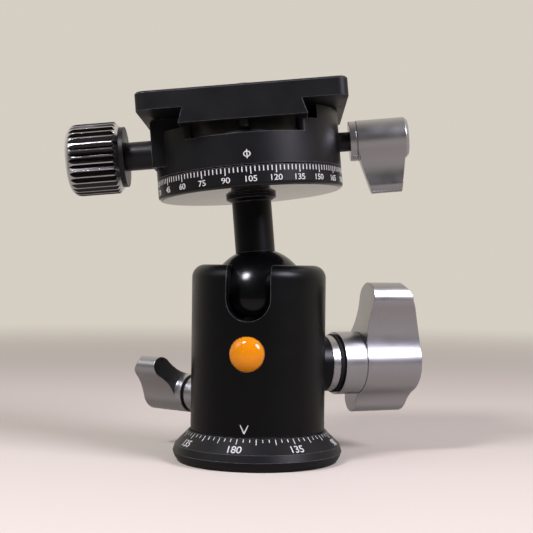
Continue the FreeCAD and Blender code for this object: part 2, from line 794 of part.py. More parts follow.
screw_outline = Outline(0, S.main_screw_start).line(S.main_thread_radius, S.main_screw_start)
screw_outline.line(S.main_thread_radius, S.main_flange_start)
screw_outline.line(S.main_flange_radius, S.main_flange_start)
screw_outline.line(S.main_flange_radius, S.main_flange_end)
screw_outline.line(S.main_shank_radius, S.main_flange_end)
screw_outline.line(S.main_shank_radius, S.main_screw_end).line(0, S.main_screw_end).close()
finish("main_screw", lathe("main_screw", "part", screw_outline), MAIN_AXIS)

shank_bore = S.main_shank_radius + S.running_gap
flange_bore = S.main_flange_radius + S.running_gap
flange_room = S.main_flange_end + S.running_gap
collar_outline = Outline(flange_bore, S.main_collar_start)
collar_outline.line(S.main_collar_radius, S.main_collar_start)
collar_outline.line(S.main_collar_radius, S.main_collar_end).line(shank_bore, S.main_collar_end)
collar_outline.line(shank_bore, flange_room).line(flange_bore, flange_room).close()
finish("main_knob_collar", lathe("main_knob_collar", "part", collar_outline), MAIN_AXIS)
finish("main_knob_ring", tube("main_knob_ring", "part", shank_bore, S.main_ring_radius,
                              S.main_collar_end, S.main_ring_end), MAIN_AXIS)
finish("main_knob_seal", tube("main_knob_seal", "part", S.main_shank_radius + S.close_gap,
                              S.main_seal_radius, S.main_ring_end + S.running_gap, S.main_seal_end),
       MAIN_AXIS)

knob_solid, knob_bore = winged_knob("pan_knob", "pan_", value("pan_wing_angle"), S.pan_seal_end,
                                    S.pan_hub_end, S.pan_thread_radius)
finish("pan_knob", cut("pan_knob", "part", knob_solid, knob_bore), PAN_AXIS)
pan_pad_start = spindle_bore + S.running_gap
pan_screw_start = pan_pad_start + S.pan_pad_length + S.pan_pad_gap
pan_flange_start = S.pan_ring_start + S.running_gap
pan_flange_end = pan_flange_start + S.pan_flange_length
screw_outline = Outline(0, pan_screw_start).line(S.pan_thread_radius, pan_screw_start)
screw_outline.line(S.pan_thread_radius, pan_flange_start).line(S.pan_flange_radius, pan_flange_start)
screw_outline.line(S.pan_flange_radius, pan_flange_end).line(S.pan_thread_radius, pan_flange_end)
screw_outline.line(S.pan_thread_radius, S.pan_screw_end).line(0, S.pan_screw_end).close()
finish("pan_screw", lathe("pan_screw", "part", screw_outline), PAN_AXIS)
pan_bore_radius = S.pan_thread_radius + S.running_gap
pan_flange_bore = S.pan_flange_radius + S.running_gap
ring_outline = Outline(pan_flange_bore, S.pan_ring_start).line(S.pan_ring_radius, S.pan_ring_start)
ring_outline.line(S.pan_ring_radius, S.pan_ring_end).line(pan_bore_radius, S.pan_ring_end)
ring_outline.line(pan_bore_radius, pan_flange_end + S.running_gap)
ring_outline.line(pan_flange_bore, pan_flange_end + S.running_gap).close()
finish("pan_ring", lathe("pan_ring", "part", ring_outline), PAN_AXIS)
finish("pan_seal", tube("pan_seal", "part", S.pan_thread_radius + S.close_gap, S.pan_seal_radius,
                        S.pan_ring_end + S.running_gap, S.pan_seal_end), PAN_AXIS)
pan_pad = rod("pan_pad", "blank", S.pan_thread_radius, S.pan_pad_length)
finish("pan_pad", group("pan_pad", "part", move(pan_pad, 0, 0, pan_pad_start)), PAN_AXIS)


# Stem, its bolt and the dial disc

stem_foot = S.ball_radius + S.foot_gap
stem_outline = Outline(S.stem_bore_radius, leg(stem_foot, S.stem_bore_radius))
stem_outline.arc(S.neck_radius, leg(stem_foot, S.neck_radius), stem_foot, -1)
stem_outline.line(S.neck_radius, S.neck_top).line(S.collar_radius, S.collar_bottom)
stem_outline.line(S.collar_radius, S.disc_bottom).line(S.spigot_radius, S.disc_bottom)
stem_outline.line(S.spigot_radius, S.spigot_top).line(S.stem_bore_radius, S.spigot_top).close()
finish("stem", lathe("stem", "part", stem_outline), CLAMP)

bolt_head_bottom = S.spigot_top + S.running_gap
bolt_radius = S.stem_bore_radius - S.running_gap
bolt_outline = Outline(0, S.bolt_start).line(bolt_radius, S.bolt_start)
bolt_outline.line(bolt_radius, bolt_head_bottom).line(S.bolt_head_radius, bolt_head_bottom)
bolt_outline.line(S.bolt_head_radius, bolt_head_bottom + S.bolt_head_length)
bolt_outline.line(0, bolt_head_bottom + S.bolt_head_length).close()
finish("stem_bolt", lathe("stem_bolt", "part", bolt_outline), STEM)

spigot_bore = S.spigot_radius + S.close_gap
head_bore = S.bolt_head_radius + S.running_gap
washer_floor = S.disc_top + S.running_gap - S.top_washer_thickness
disc_outline = Outline(spigot_bore, S.disc_bottom)
disc_outline.line(S.disc_radius - S.disc_edge_radius, S.disc_bottom)
disc_outline.arc(S.disc_radius, S.disc_bottom + S.disc_edge_radius, S.disc_edge_radius, 1)
disc_outline.line(S.disc_radius, S.disc_top)
disc_outline.line(S.top_washer_outer_radius + S.running_gap, S.disc_top)
disc_outline.line(S.top_washer_outer_radius + S.running_gap, washer_floor)
disc_outline.line(S.top_washer_inner_radius - S.running_gap, washer_floor)
disc_outline.line(S.top_washer_inner_radius - S.running_gap, S.disc_top)
disc_outline.line(S.disc_hub_radius, S.disc_top).line(S.disc_hub_radius, S.disc_hub_top)
disc_outline.line(head_bore, S.disc_hub_top).line(head_bore, S.spigot_top)
disc_outline.line(spigot_bore, S.spigot_top).close()
disc_blank = lathe("dial_disc", "blank", disc_outline)
disc_holes = countersinks("dial_disc", S.top_screw_radius, S.top_screw_head_radius, S.top_screw_ring,
                          S.top_screw_length, S.top_retainer_top)
finish("dial_disc", cut("dial_disc", "part", disc_blank, *disc_holes), STEM)
finish("top_washer", tube("top_washer", "part", S.top_washer_inner_radius, S.top_washer_outer_radius,
                          washer_floor, washer_floor + S.top_washer_thickness), STEM)

top_retainer = rod("top_retainer", "disc", S.top_retainer_radius, S.top_retainer_top - S.disc_hub_top)
move(top_retainer, 0, 0, S.disc_hub_top)
top_holes = countersinks("top_retainer", S.top_screw_radius, S.top_screw_head_radius, S.top_screw_ring,
                         S.top_screw_length, S.top_retainer_top)
finish("top_retainer", cut("top_retainer", "part", top_retainer, *top_holes), STEM)
finish("top_retainer_screws", group("top_retainer_screws", "part", *ring_of_screws(
    "top_retainer_screws", S.top_screw_radius, S.top_screw_head_radius, S.top_screw_ring,
    S.top_screw_length, S.top_retainer_top)), STEM)


# Clamp: a round body with a channel, a fixed jaw on +X and a step for the moving jaw on -X

half_dovetail = S.dovetail_width / 2
flank = S.dovetail_inset / S.dovetail_height
slab_bottom = S.plate_bottom + S.dovetail_height
plate_top = slab_bottom + S.slab_thickness
jaw_top = slab_bottom - S.jaw_headroom


def dovetail_half_width(height):
    """Half the dovetail's width at a height."""
    return half_dovetail - flank * (height - S.plate_bottom)


body_outline = Outline(S.disc_hub_radius + S.running_gap, S.clamp_bottom)
body_outline.line(S.disc_radius - S.clamp_edge, S.clamp_bottom)
body_outline.line(S.disc_radius, S.clamp_bottom + S.clamp_edge).line(S.disc_radius, jaw_top)
retainer_room = S.top_retainer_radius + 2 * S.running_gap
retainer_seat = S.disc_hub_top - S.running_gap
body_outline.line(retainer_room, jaw_top).line(retainer_room, retainer_seat)
body_outline.line(S.disc_hub_radius + S.running_gap, retainer_seat).close()
clamp_blank = lathe("clamp_body", "blank", body_outline)

jaw_inner_low = dovetail_half_width(S.clamp_top) + S.jaw_clearance
jaw_inner_high = dovetail_half_width(jaw_top) + S.jaw_clearance
clear_reach = S.disc_radius + 1
above_outline = Outline(-clear_reach, S.clamp_top).line(jaw_inner_low, S.clamp_top)
above_outline.line(jaw_inner_high, jaw_top).line(jaw_inner_high, jaw_top + 1)
above_outline.line(-clear_reach, jaw_top + 1).close()
above = prism("clamp_body", "above", above_outline, 2 * clear_reach, "XZ_Plane", True)

jaw_nose = leg(S.disc_radius, S.fixed_jaw_front)


def jaw_corner_tool(name, side):
    """Trims one front corner of the fixed jaw, from the jaw's end out to the round wall."""
    outline = Outline(jaw_inner_high - 1, side * S.jaw_half_length)
    outline.line(jaw_inner_low, side * S.jaw_half_length).line(S.fixed_jaw_front, side * jaw_nose)
    outline.line(S.fixed_jaw_front, side * clear_reach).line(jaw_inner_high - 1, side * clear_reach).close()
    return move(prism("clamp_body", name, outline, TOOL_REACH), 0, 0, S.clamp_top)


channel_half = S.channel_width / 2
channel_floor = S.clamp_top - S.channel_depth
mouth_centre = leg(S.disc_radius - S.channel_corner, channel_half + S.channel_corner)
on_wall = S.disc_radius / (S.disc_radius - S.channel_corner)
wall_x = (channel_half + S.channel_corner) * on_wall
wall_y = mouth_centre * on_wall
channel_outline = Outline(channel_half, -mouth_centre).line(channel_half, mouth_centre)
channel_outline.arc(wall_x, wall_y, S.channel_corner, -1).line(wall_x, clear_reach)
channel_outline.line(-wall_x, clear_reach).line(-wall_x, wall_y)
channel_outline.arc(-channel_half, mouth_centre, S.channel_corner, -1).line(-channel_half, -mouth_centre)
channel_outline.arc(-wall_x, -wall_y, S.channel_corner, -1).line(-wall_x, -clear_reach)
channel_outline.line(wall_x, -clear_reach).line(wall_x, -wall_y).close((S.channel_corner, -1))
channel = prism("clamp_body", "channel", channel_outline, S.channel_depth + 1)
move(channel, 0, 0, channel_floor)
step_plane = S.jaw_outer - S.jaw_thickness
step_floor = S.jaw_bottom - 4 * S.running_gap
step = block("clamp_body", "jaw step", clear_reach, 2 * clear_reach, TOOL_REACH)
move(step, -step_plane - clear_reach, -clear_reach, step_floor)


def sideways(label, piece, radius, start, end, across, height, direction=1):
    """A cylinder along the clamp's X axis between two distances from the middle."""
    feature = rod(label, piece, radius, end - as_size(start))
    turn = ABOUT_X if direction > 0 else FreeCAD.Rotation(FreeCAD.Vector(0, 1, 0), -90)
    return move(feature, start if direction > 0 else -as_size(start), across, height, turn)


pin_across = S.pin_spacing / 2
clamp_cuts = [
    above, jaw_corner_tool("jaw corner front", -1), jaw_corner_tool("jaw corner back", 1), channel, step,
    sideways("clamp_body", "screw bore", S.clamp_thread_radius + S.running_gap,
             S.clamp_screw_start - 0.5, clear_reach, 0, S.clamp_axis, -1),
    sideways("clamp_body", "spring pocket", S.spring_radius + 4 * S.running_gap,
             step_plane - S.spring_length - 2 * S.running_gap, clear_reach, 0, S.clamp_axis, -1),
    sideways("clamp_body", "front pin hole", S.pin_radius + S.close_gap, S.pin_start, clear_reach,
             -pin_across, S.clamp_axis, -1),
    sideways("clamp_body", "back pin hole", S.pin_radius + S.close_gap, S.pin_start, clear_reach,
             pin_across, S.clamp_axis, -1),
    sideways("clamp_body", "lever bore", S.lever_shaft_radius + S.running_gap,
             S.lever_shaft_start - S.pan_pad_gap, clear_reach, 0, S.lever_axis),
    sideways("clamp_body", "pad bore", S.lever_pad_radius + S.running_gap, S.disc_hub_radius, clear_reach,
             0, S.lever_axis),
]
finish("clamp_body", cut("clamp_body", "part", clamp_blank, *clamp_cuts), CLAMP)

finish("guide_pins", group("guide_pins", "part",
                           sideways("guide_pins", "front", S.pin_radius, S.pin_start, S.pin_end,
                                    -pin_across, S.clamp_axis, -1),
                           sideways("guide_pins", "back", S.pin_radius, S.pin_start, S.pin_end,
                                    pin_across, S.clamp_axis, -1)), CLAMP)
spring_start = step_plane - S.spring_length - S.running_gap
finish("jaw_spring", tube("jaw_spring", "part", S.spring_radius - S.spring_wall, S.spring_radius,
                          spring_start, spring_start + S.spring_length), JAW_AXIS)

# Moving jaw, with a hooked lip over the dovetail

jaw_outline = Outline(-S.jaw_outer, S.jaw_bottom).line(-step_plane - S.slide_gap, S.jaw_bottom)
jaw_outline.line(-step_plane - S.slide_gap, S.clamp_top + S.slide_gap)
lip_low = dovetail_half_width(S.clamp_top + S.slide_gap) + S.jaw_clearance
jaw_outline.line(-lip_low, S.clamp_top + S.slide_gap).line(-jaw_inner_high, jaw_top)
jaw_outline.line(-S.jaw_outer + S.jaw_corner, jaw_top).line(-S.jaw_outer, jaw_top - S.jaw_corner)
jaw_blank = prism("moving_jaw", "blank", jaw_outline.close(), 2 * S.jaw_half_length, "XZ_Plane", True)
jaw_cuts = [
    sideways("moving_jaw", "screw bore", S.clamp_thread_radius + S.running_gap, 0, 2 * clear_reach, 0,
             S.clamp_axis, -1),
    sideways("moving_jaw", "front pin hole", S.pin_radius + S.running_gap, 0,
             S.pin_end + 2 * S.running_gap, -pin_across, S.clamp_axis, -1),
    sideways("moving_jaw", "back pin hole", S.pin_radius + S.running_gap, 0,
             S.pin_end + 2 * S.running_gap, pin_across, S.clamp_axis, -1),
]
finish("moving_jaw", cut("moving_jaw", "part", jaw_blank, *jaw_cuts), CLAMP)
finish("jaw_sleeve", tube("jaw_sleeve", "part", S.clamp_thread_radius + S.running_gap, S.sleeve_radius,
                          S.jaw_outer, S.knob_disc_start - S.running_gap), JAW_AXIS)

# Knurled knob and its screw

clamp_screw = rod("clamp_screw", "blank", S.clamp_thread_radius, S.clamp_screw_end - S.clamp_screw_start)
finish("clamp_screw", group("clamp_screw", "part", move(clamp_screw, 0, 0, S.clamp_screw_start)), JAW_AXIS)
finish("knob_disc", tube("knob_disc", "part", S.clamp_thread_radius + S.close_gap, S.knob_disc_radius,
                         S.knob_disc_start, S.knurl_start), JAW_AXIS)

knurl_bore = S.clamp_thread_radius + S.close_gap
knurl_outline = Outline(knurl_bore, S.knurl_start).line(S.knurl_radius - S.knurl_chamfer, S.knurl_start)
knurl_outline.line(S.knurl_radius, S.knurl_start + S.knurl_chamfer)
knurl_outline.line(S.knurl_radius, S.knurl_end - S.knurl_end_round)
knurl_outline.arc(S.knurl_radius - S.knurl_end_round, S.knurl_end, S.knurl_end_round, 1)
knurl_outline.line(0, S.knurl_end).line(0, S.clamp_screw_end + S.slide_gap)
knurl_outline.line(knurl_bore, S.clamp_screw_end + S.slide_gap).close()
knurled = lathe("knurled_knob", "part", knurl_outline)
half_groove = S.knurl_groove_width / 2
groove_outline = Outline(S.knurl_radius - S.knurl_groove_depth, 0)
groove_outline.line(S.knurl_radius + S.knurl_groove_depth, -2 * half_groove)
groove_outline.line(S.knurl_radius + S.knurl_groove_depth, 2 * half_groove).close()
groove_sketch = sketch_on(knurled, "XY_Plane", groove_outline, "KnurlGroove")
groove = knurled.newObject("PartDesign::Pocket", "KnurlGroovePocket")
groove.Profile = groove_sketch
groove.Reversed = True
bind(groove, Length=S.knurl_end + 1)
knurl_pattern = knurled.newObject("PartDesign::PolarPattern", "KnurlPattern")
knurl_pattern.Originals = [groove]
knurl_pattern.Axis = (groove_sketch, ["N_Axis"])
knurl_pattern.Angle = 360
knurl_pattern.Occurrences = KNURL_COUNT
knurled.Tip = knurl_pattern
finish("knurled_knob", knurled, JAW_AXIS)


# Top lever, with one wing that hangs down

lever_outline = winged_outline(S.lever_hub_radius, S.lever_bulb_reach, S.lever_bulb_radius,
                               S.lever_blend_radius)
lever_blade = prism("top_lever", "blade", lever_outline, S.lever_wing_end - S.lever_wing_start)
move(lever_blade, 0, 0, S.lever_wing_start, FreeCAD.Rotation(FreeCAD.Vector(0, 0, 1), 180))
lever_tip = S.lever_bulb_reach + S.lever_bulb_radius
trim_outline = Outline(S.lever_hub_radius, S.lever_wing_start - 1)
trim_outline.line(lever_tip + 1, S.lever_wing_start - 1)
trim_outline.line(lever_tip + 1, S.lever_wing_start + S.lever_wing_slope)
trim_outline.line(S.lever_hub_radius, S.lever_wing_start).close()
taper_outline = Outline(S.lever_hub_radius, S.lever_wing_end)
taper_outline.line(lever_tip + 1, S.lever_wing_end - S.lever_wing_taper)
taper_outline.line(lever_tip + 1, S.lever_wing_end + 1).line(S.lever_hub_radius, S.lever_wing_end + 1).close()
lever_wing = cut("top_lever", "wing", lever_blade, lathe("top_lever", "trim", trim_outline),
                 lathe("top_lever", "taper", taper_outline))
hub_back = S.lever_ring_end + S.lever_groove_width
hub_outline = Outline(0, hub_back).line(S.lever_hub_radius, hub_back)
hub_outline.line(S.lever_hub_radius, S.lever_end - S.lever_end_chamfer)
hub_outline.line(S.lever_hub_radius - S.lever_end_chamfer, S.lever_end).line(0, S.lever_end).close()
lever_solid = join("top_lever", "solid", lever_wing, lathe("top_lever", "hub", hub_outline))
lever_bore = rod("top_lever", "bore", S.lever_shaft_radius + S.close_gap,
                 S.lever_shaft_end + S.slide_gap - hub_back)
move(lever_bore, 0, 0, hub_back)
finish("top_lever", cut("top_lever", "part", lever_solid, lever_bore), LEVER_AXIS)

lever_shaft = rod("lever_screw", "blank", S.lever_shaft_radius, S.lever_shaft_end - S.lever_shaft_start)
finish("lever_screw", group("lever_screw", "part", move(lever_shaft, 0, 0, S.lever_shaft_start)),
       LEVER_AXIS)
ring_outline = Outline(S.lever_shaft_radius + S.close_gap, S.lever_ring_start)
ring_outline.line(S.lever_ring_radius, S.lever_ring_start).line(S.lever_ring_radius, S.lever_ring_end)
ring_outline.line(S.lever_ring_radius - 2 * S.lever_groove_width, S.lever_ring_end)
ring_outline.line(S.lever_ring_radius - 2 * S.lever_groove_width, hub_back)
ring_outline.line(S.lever_shaft_radius + S.close_gap, hub_back).close()
finish("lever_ring", lathe("lever_ring", "part", ring_outline), LEVER_AXIS)
lever_pad = rod("lever_pad", "blank", S.lever_pad_radius, S.lever_pad_length)
finish("lever_pad", group("lever_pad", "part",
                          move(lever_pad, 0, 0, S.top_retainer_radius + 2 * S.running_gap)), LEVER_AXIS)


# Quick-release plate with its dovetail, camera screw, pads and stops

half_plate = S.plate_width / 2
half_length = S.plate_length / 2
top_half = dovetail_half_width(slab_bottom)
foot_profile = Outline(-half_dovetail, S.plate_bottom).line(half_dovetail, S.plate_bottom)
foot_profile.line(top_half, slab_bottom).line(top_half, slab_bottom + 1)
foot_profile.line(-top_half, slab_bottom + 1).line(-top_half, slab_bottom).close()
dovetail = prism("qr_plate", "dovetail", foot_profile, S.plate_length, "XZ_Plane", True)
corner = S.plate_corner
slab_profile = Outline(-half_plate + corner, -half_length).line(half_plate - corner, -half_length)
slab_profile.arc(half_plate, -half_length + corner, corner, 1).line(half_plate, half_length - corner)
slab_profile.arc(half_plate - corner, half_length, corner, 1).line(-half_plate + corner, half_length)
slab_profile.arc(-half_plate, half_length - corner, corner, 1).line(-half_plate, -half_length + corner)
slab_profile.close((corner, 1))
slab = prism("qr_plate", "slab", slab_profile, S.slab_thickness)
slab_pad = slab.Tip
slab_top = top_face(slab_pad)
slab_edges = slab.newObject("PartDesign::Chamfer", "SlabEdges")
slab_edges.Base = (slab_pad, [slab_top])
bind(slab_edges, Size=S.plate_edge)
slab.Tip = slab_edges
move(slab, 0, 0, slab_bottom)
plate_blank = join("qr_plate", "blank", dovetail, slab)
head_top = S.plate_bottom + S.camera_head_length
camera_hole = rod("qr_plate", "camera hole", S.camera_thread_radius + S.running_gap, TOOL_REACH)
head_pocket = rod("qr_plate", "head pocket", S.camera_head_radius + 4 * S.running_gap,
                  head_top - S.plate_bottom + 2 * S.running_gap + S.clip_thickness)
plate_cuts = [move(camera_hole, 0, 0, S.plate_bottom - 1), move(head_pocket, 0, 0, S.plate_bottom)]
clip_room = rod("qr_plate", "clip room", S.clip_radius + 2 * S.running_gap, TOOL_REACH)
clip_bottom = plate_top - S.clip_thickness - 4 * S.running_gap
plate_cuts.append(move(clip_room, 0, 0, clip_bottom - S.running_gap))
for name, side in (("left pad", -1), ("right pad", 1)):
    recess = block("qr_plate", name, S.pad_width, S.pad_length, TOOL_REACH)
    middle = side * S.pad_spacing / 2
    plate_cuts.append(move(recess, middle - S.pad_width / 2, -S.pad_length / 2,
                           plate_top - S.pad_recess))
for name, side in (("front stop", -1), ("back stop", 1)):
    hole = rod("qr_plate", name, S.stop_thread_radius + S.close_gap, S.stop_thread_length + S.slide_gap)
    plate_cuts.append(move(hole, 0, side * S.stop_spacing / 2, S.plate_bottom))
finish("qr_plate", cut("qr_plate", "part", plate_blank, *plate_cuts), CLAMP)

screw_low = S.plate_bottom + 2 * S.running_gap
screw_outline = Outline(0, screw_low).line(S.camera_head_radius, screw_low)
screw_outline.line(S.camera_head_radius, head_top).line(S.camera_shank_radius, head_top)
screw_top = plate_top + S.camera_thread_reach
thread_low = plate_top + S.running_gap
screw_outline.line(S.camera_shank_radius, thread_low).line(S.camera_thread_radius, thread_low)
screw_outline.line(S.camera_thread_radius, screw_top - S.camera_tip_chamfer)
screw_outline.line(S.camera_thread_radius - S.camera_tip_chamfer, screw_top).line(0, screw_top).close()
camera_blank = lathe("camera_screw", "blank", screw_outline)
coin_slot = block("camera_screw", "slot", 3 * S.camera_head_radius, S.camera_slot_width,
                  2 * S.camera_slot_depth)
move(coin_slot, -1.5 * S.camera_head_radius, -S.camera_slot_width / 2, screw_low - S.camera_slot_depth)
finish("camera_screw", cut("camera_screw", "part", camera_blank, coin_slot), CLAMP)
finish("screw_clip", tube("screw_clip", "part", S.camera_shank_radius + S.close_gap, S.clip_radius,
                          clip_bottom, clip_bottom + S.clip_thickness), CLAMP)

pads = []
for name, side in (("left", -1), ("right", 1)):
    pad = block("plate_pads", name, S.pad_width - 2 * S.close_gap, S.pad_length - 2 * S.close_gap,
                S.pad_height)
    middle = side * S.pad_spacing / 2
    pads.append(move(pad, middle - S.pad_width / 2 + S.close_gap, -S.pad_length / 2 + S.close_gap,
                     plate_top - S.pad_recess))
finish("plate_pads", group("plate_pads", "part", *pads), CLAMP)

stops = []
for name, side in (("front", -1), ("back", 1)):
    stop_top = S.plate_bottom + S.stop_thread_length
    outline = Outline(0, S.plate_bottom - S.stop_length)
    outline.line(S.stop_radius, S.plate_bottom - S.stop_length).line(S.stop_radius, S.plate_bottom)
    outline.line(S.stop_thread_radius, S.plate_bottom).line(S.stop_thread_radius, stop_top)
    outline.line(0, stop_top).close()
    stops.append(move(lathe("stop_screws", name, outline), 0, side * S.stop_spacing / 2, 0))
finish("stop_screws", group("stop_screws", "part", *stops), CLAMP)

# Rebuild, check and write

document.recompute()
faults = [item.Name for item in document.Objects if {"Invalid", "Error"} & set(item.State)]
for item in subparts:
    if item.Shape.isNull() or not item.Shape.isValid() or item.Shape.Volume <= 0:
        faults.append(item.Label)
if faults:
    raise RuntimeError("not sound: " + ", ".join(faults))

os.makedirs("parts", exist_ok=True)
for item in subparts:
    item.Shape.exportStep("parts/%s.step" % item.Label)
    print("%-22s %2d solids %9.1f mm3" % (item.Label, len(item.Shape.Solids), item.Shape.Volume))
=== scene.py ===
"""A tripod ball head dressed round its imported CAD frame: finishes, dial marks and studio."""

import logging  # noqa: E402
import math  # noqa: E402
from dataclasses import dataclass, field, replace  # noqa: E402
from enum import Enum  # noqa: E402
from typing import Callable, Iterable  # noqa: E402

import bpy  # noqa: E402
from mathutils import Matrix, Vector  # noqa: E402


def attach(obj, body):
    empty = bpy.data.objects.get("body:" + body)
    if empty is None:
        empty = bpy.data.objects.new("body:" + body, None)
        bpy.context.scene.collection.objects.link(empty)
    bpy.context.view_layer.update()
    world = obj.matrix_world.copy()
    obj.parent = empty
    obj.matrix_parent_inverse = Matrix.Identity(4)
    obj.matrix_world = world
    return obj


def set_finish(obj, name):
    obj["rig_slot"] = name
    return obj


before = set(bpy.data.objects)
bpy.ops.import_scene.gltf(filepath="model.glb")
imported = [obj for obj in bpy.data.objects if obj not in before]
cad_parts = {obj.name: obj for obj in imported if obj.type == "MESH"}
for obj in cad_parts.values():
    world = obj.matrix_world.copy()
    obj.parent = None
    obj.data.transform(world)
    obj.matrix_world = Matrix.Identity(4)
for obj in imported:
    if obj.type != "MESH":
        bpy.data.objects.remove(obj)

LOG = logging.getLogger("ball_head")
MM = 0.001
Colour = tuple[float, float, float]
Point = tuple[float, float, float]

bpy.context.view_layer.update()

# How the engraved marks and numbers lie in the metal, in millimetres.
MARK_PROUD = 0.02
MARK_HALF_DEPTH = 0.03
# The numbers' strokes and spacing, as shares of the font's own.
STROKE_OFFSET = 0.006
DIGIT_SPACING = 0.95
# A face whose normal's Z is under this is taken to look down.
LOOKS_DOWN = -0.6
# How far the camera's side of the object is turned from -Y, in degrees.
CAMERA_TURN = 9.3

# The leaned stem and the clamp turned on it, as in the part's source.
BALL_CENTRE = (0.0, 0.0, 50.8 * MM)
STEM = (
    Matrix.Translation(BALL_CENTRE)
    @ Matrix.Rotation(math.radians(-5.26), 4, "Y")
    @ Matrix.Rotation(math.radians(-1.1), 4, "X")
)
CLAMP = STEM @ Matrix.Rotation(math.radians(8.1), 4, "Z")


def facing(azimuth: float, height: float) -> Matrix:
    """Gives the frame of a level shaft.

    Args:
        azimuth: The way the shaft points, in degrees from +X.
        height: Its height in millimetres.

    Returns:
        The frame, with Z along the shaft and X up.
    """
    turn = math.radians(azimuth)
    across = (math.sin(turn), -math.cos(turn), 0.0)
    along = (math.cos(turn), math.sin(turn), 0.0)
    columns = Matrix(((0.0, 0.0, 1.0), across, along)).transposed()
    return Matrix.Translation((0.0, 0.0, height * MM)) @ columns.to_4x4()


class Axis(Enum):
    """The axes that the ball head's pieces were turned about."""

    HOUSING = "housing"
    STEM = "stem"
    CLAMP = "clamp"
    MAIN_KNOB = "main_knob"
    PAN_KNOB = "pan_knob"
    BADGE = "badge"
    JAW = "jaw"
    LEVER = "lever"

    def frame(self) -> Matrix:
        """Gives the axis's frame, whose Z is the turning axis."""
        return {
            Axis.HOUSING: Matrix.Identity(4),
            Axis.STEM: STEM,
            Axis.CLAMP: CLAMP,
            Axis.MAIN_KNOB: facing(30.0, 29.7),
            Axis.PAN_KNOB: facing(150.0, 18.6),
            Axis.BADGE: facing(-90.0, 34.4),
            Axis.JAW: CLAMP @ facing(180.0, 47.5),
            Axis.LEVER: CLAMP @ facing(0.0, 46.85),
        }[self]


# ---------------------------------------------------------------- shader effects


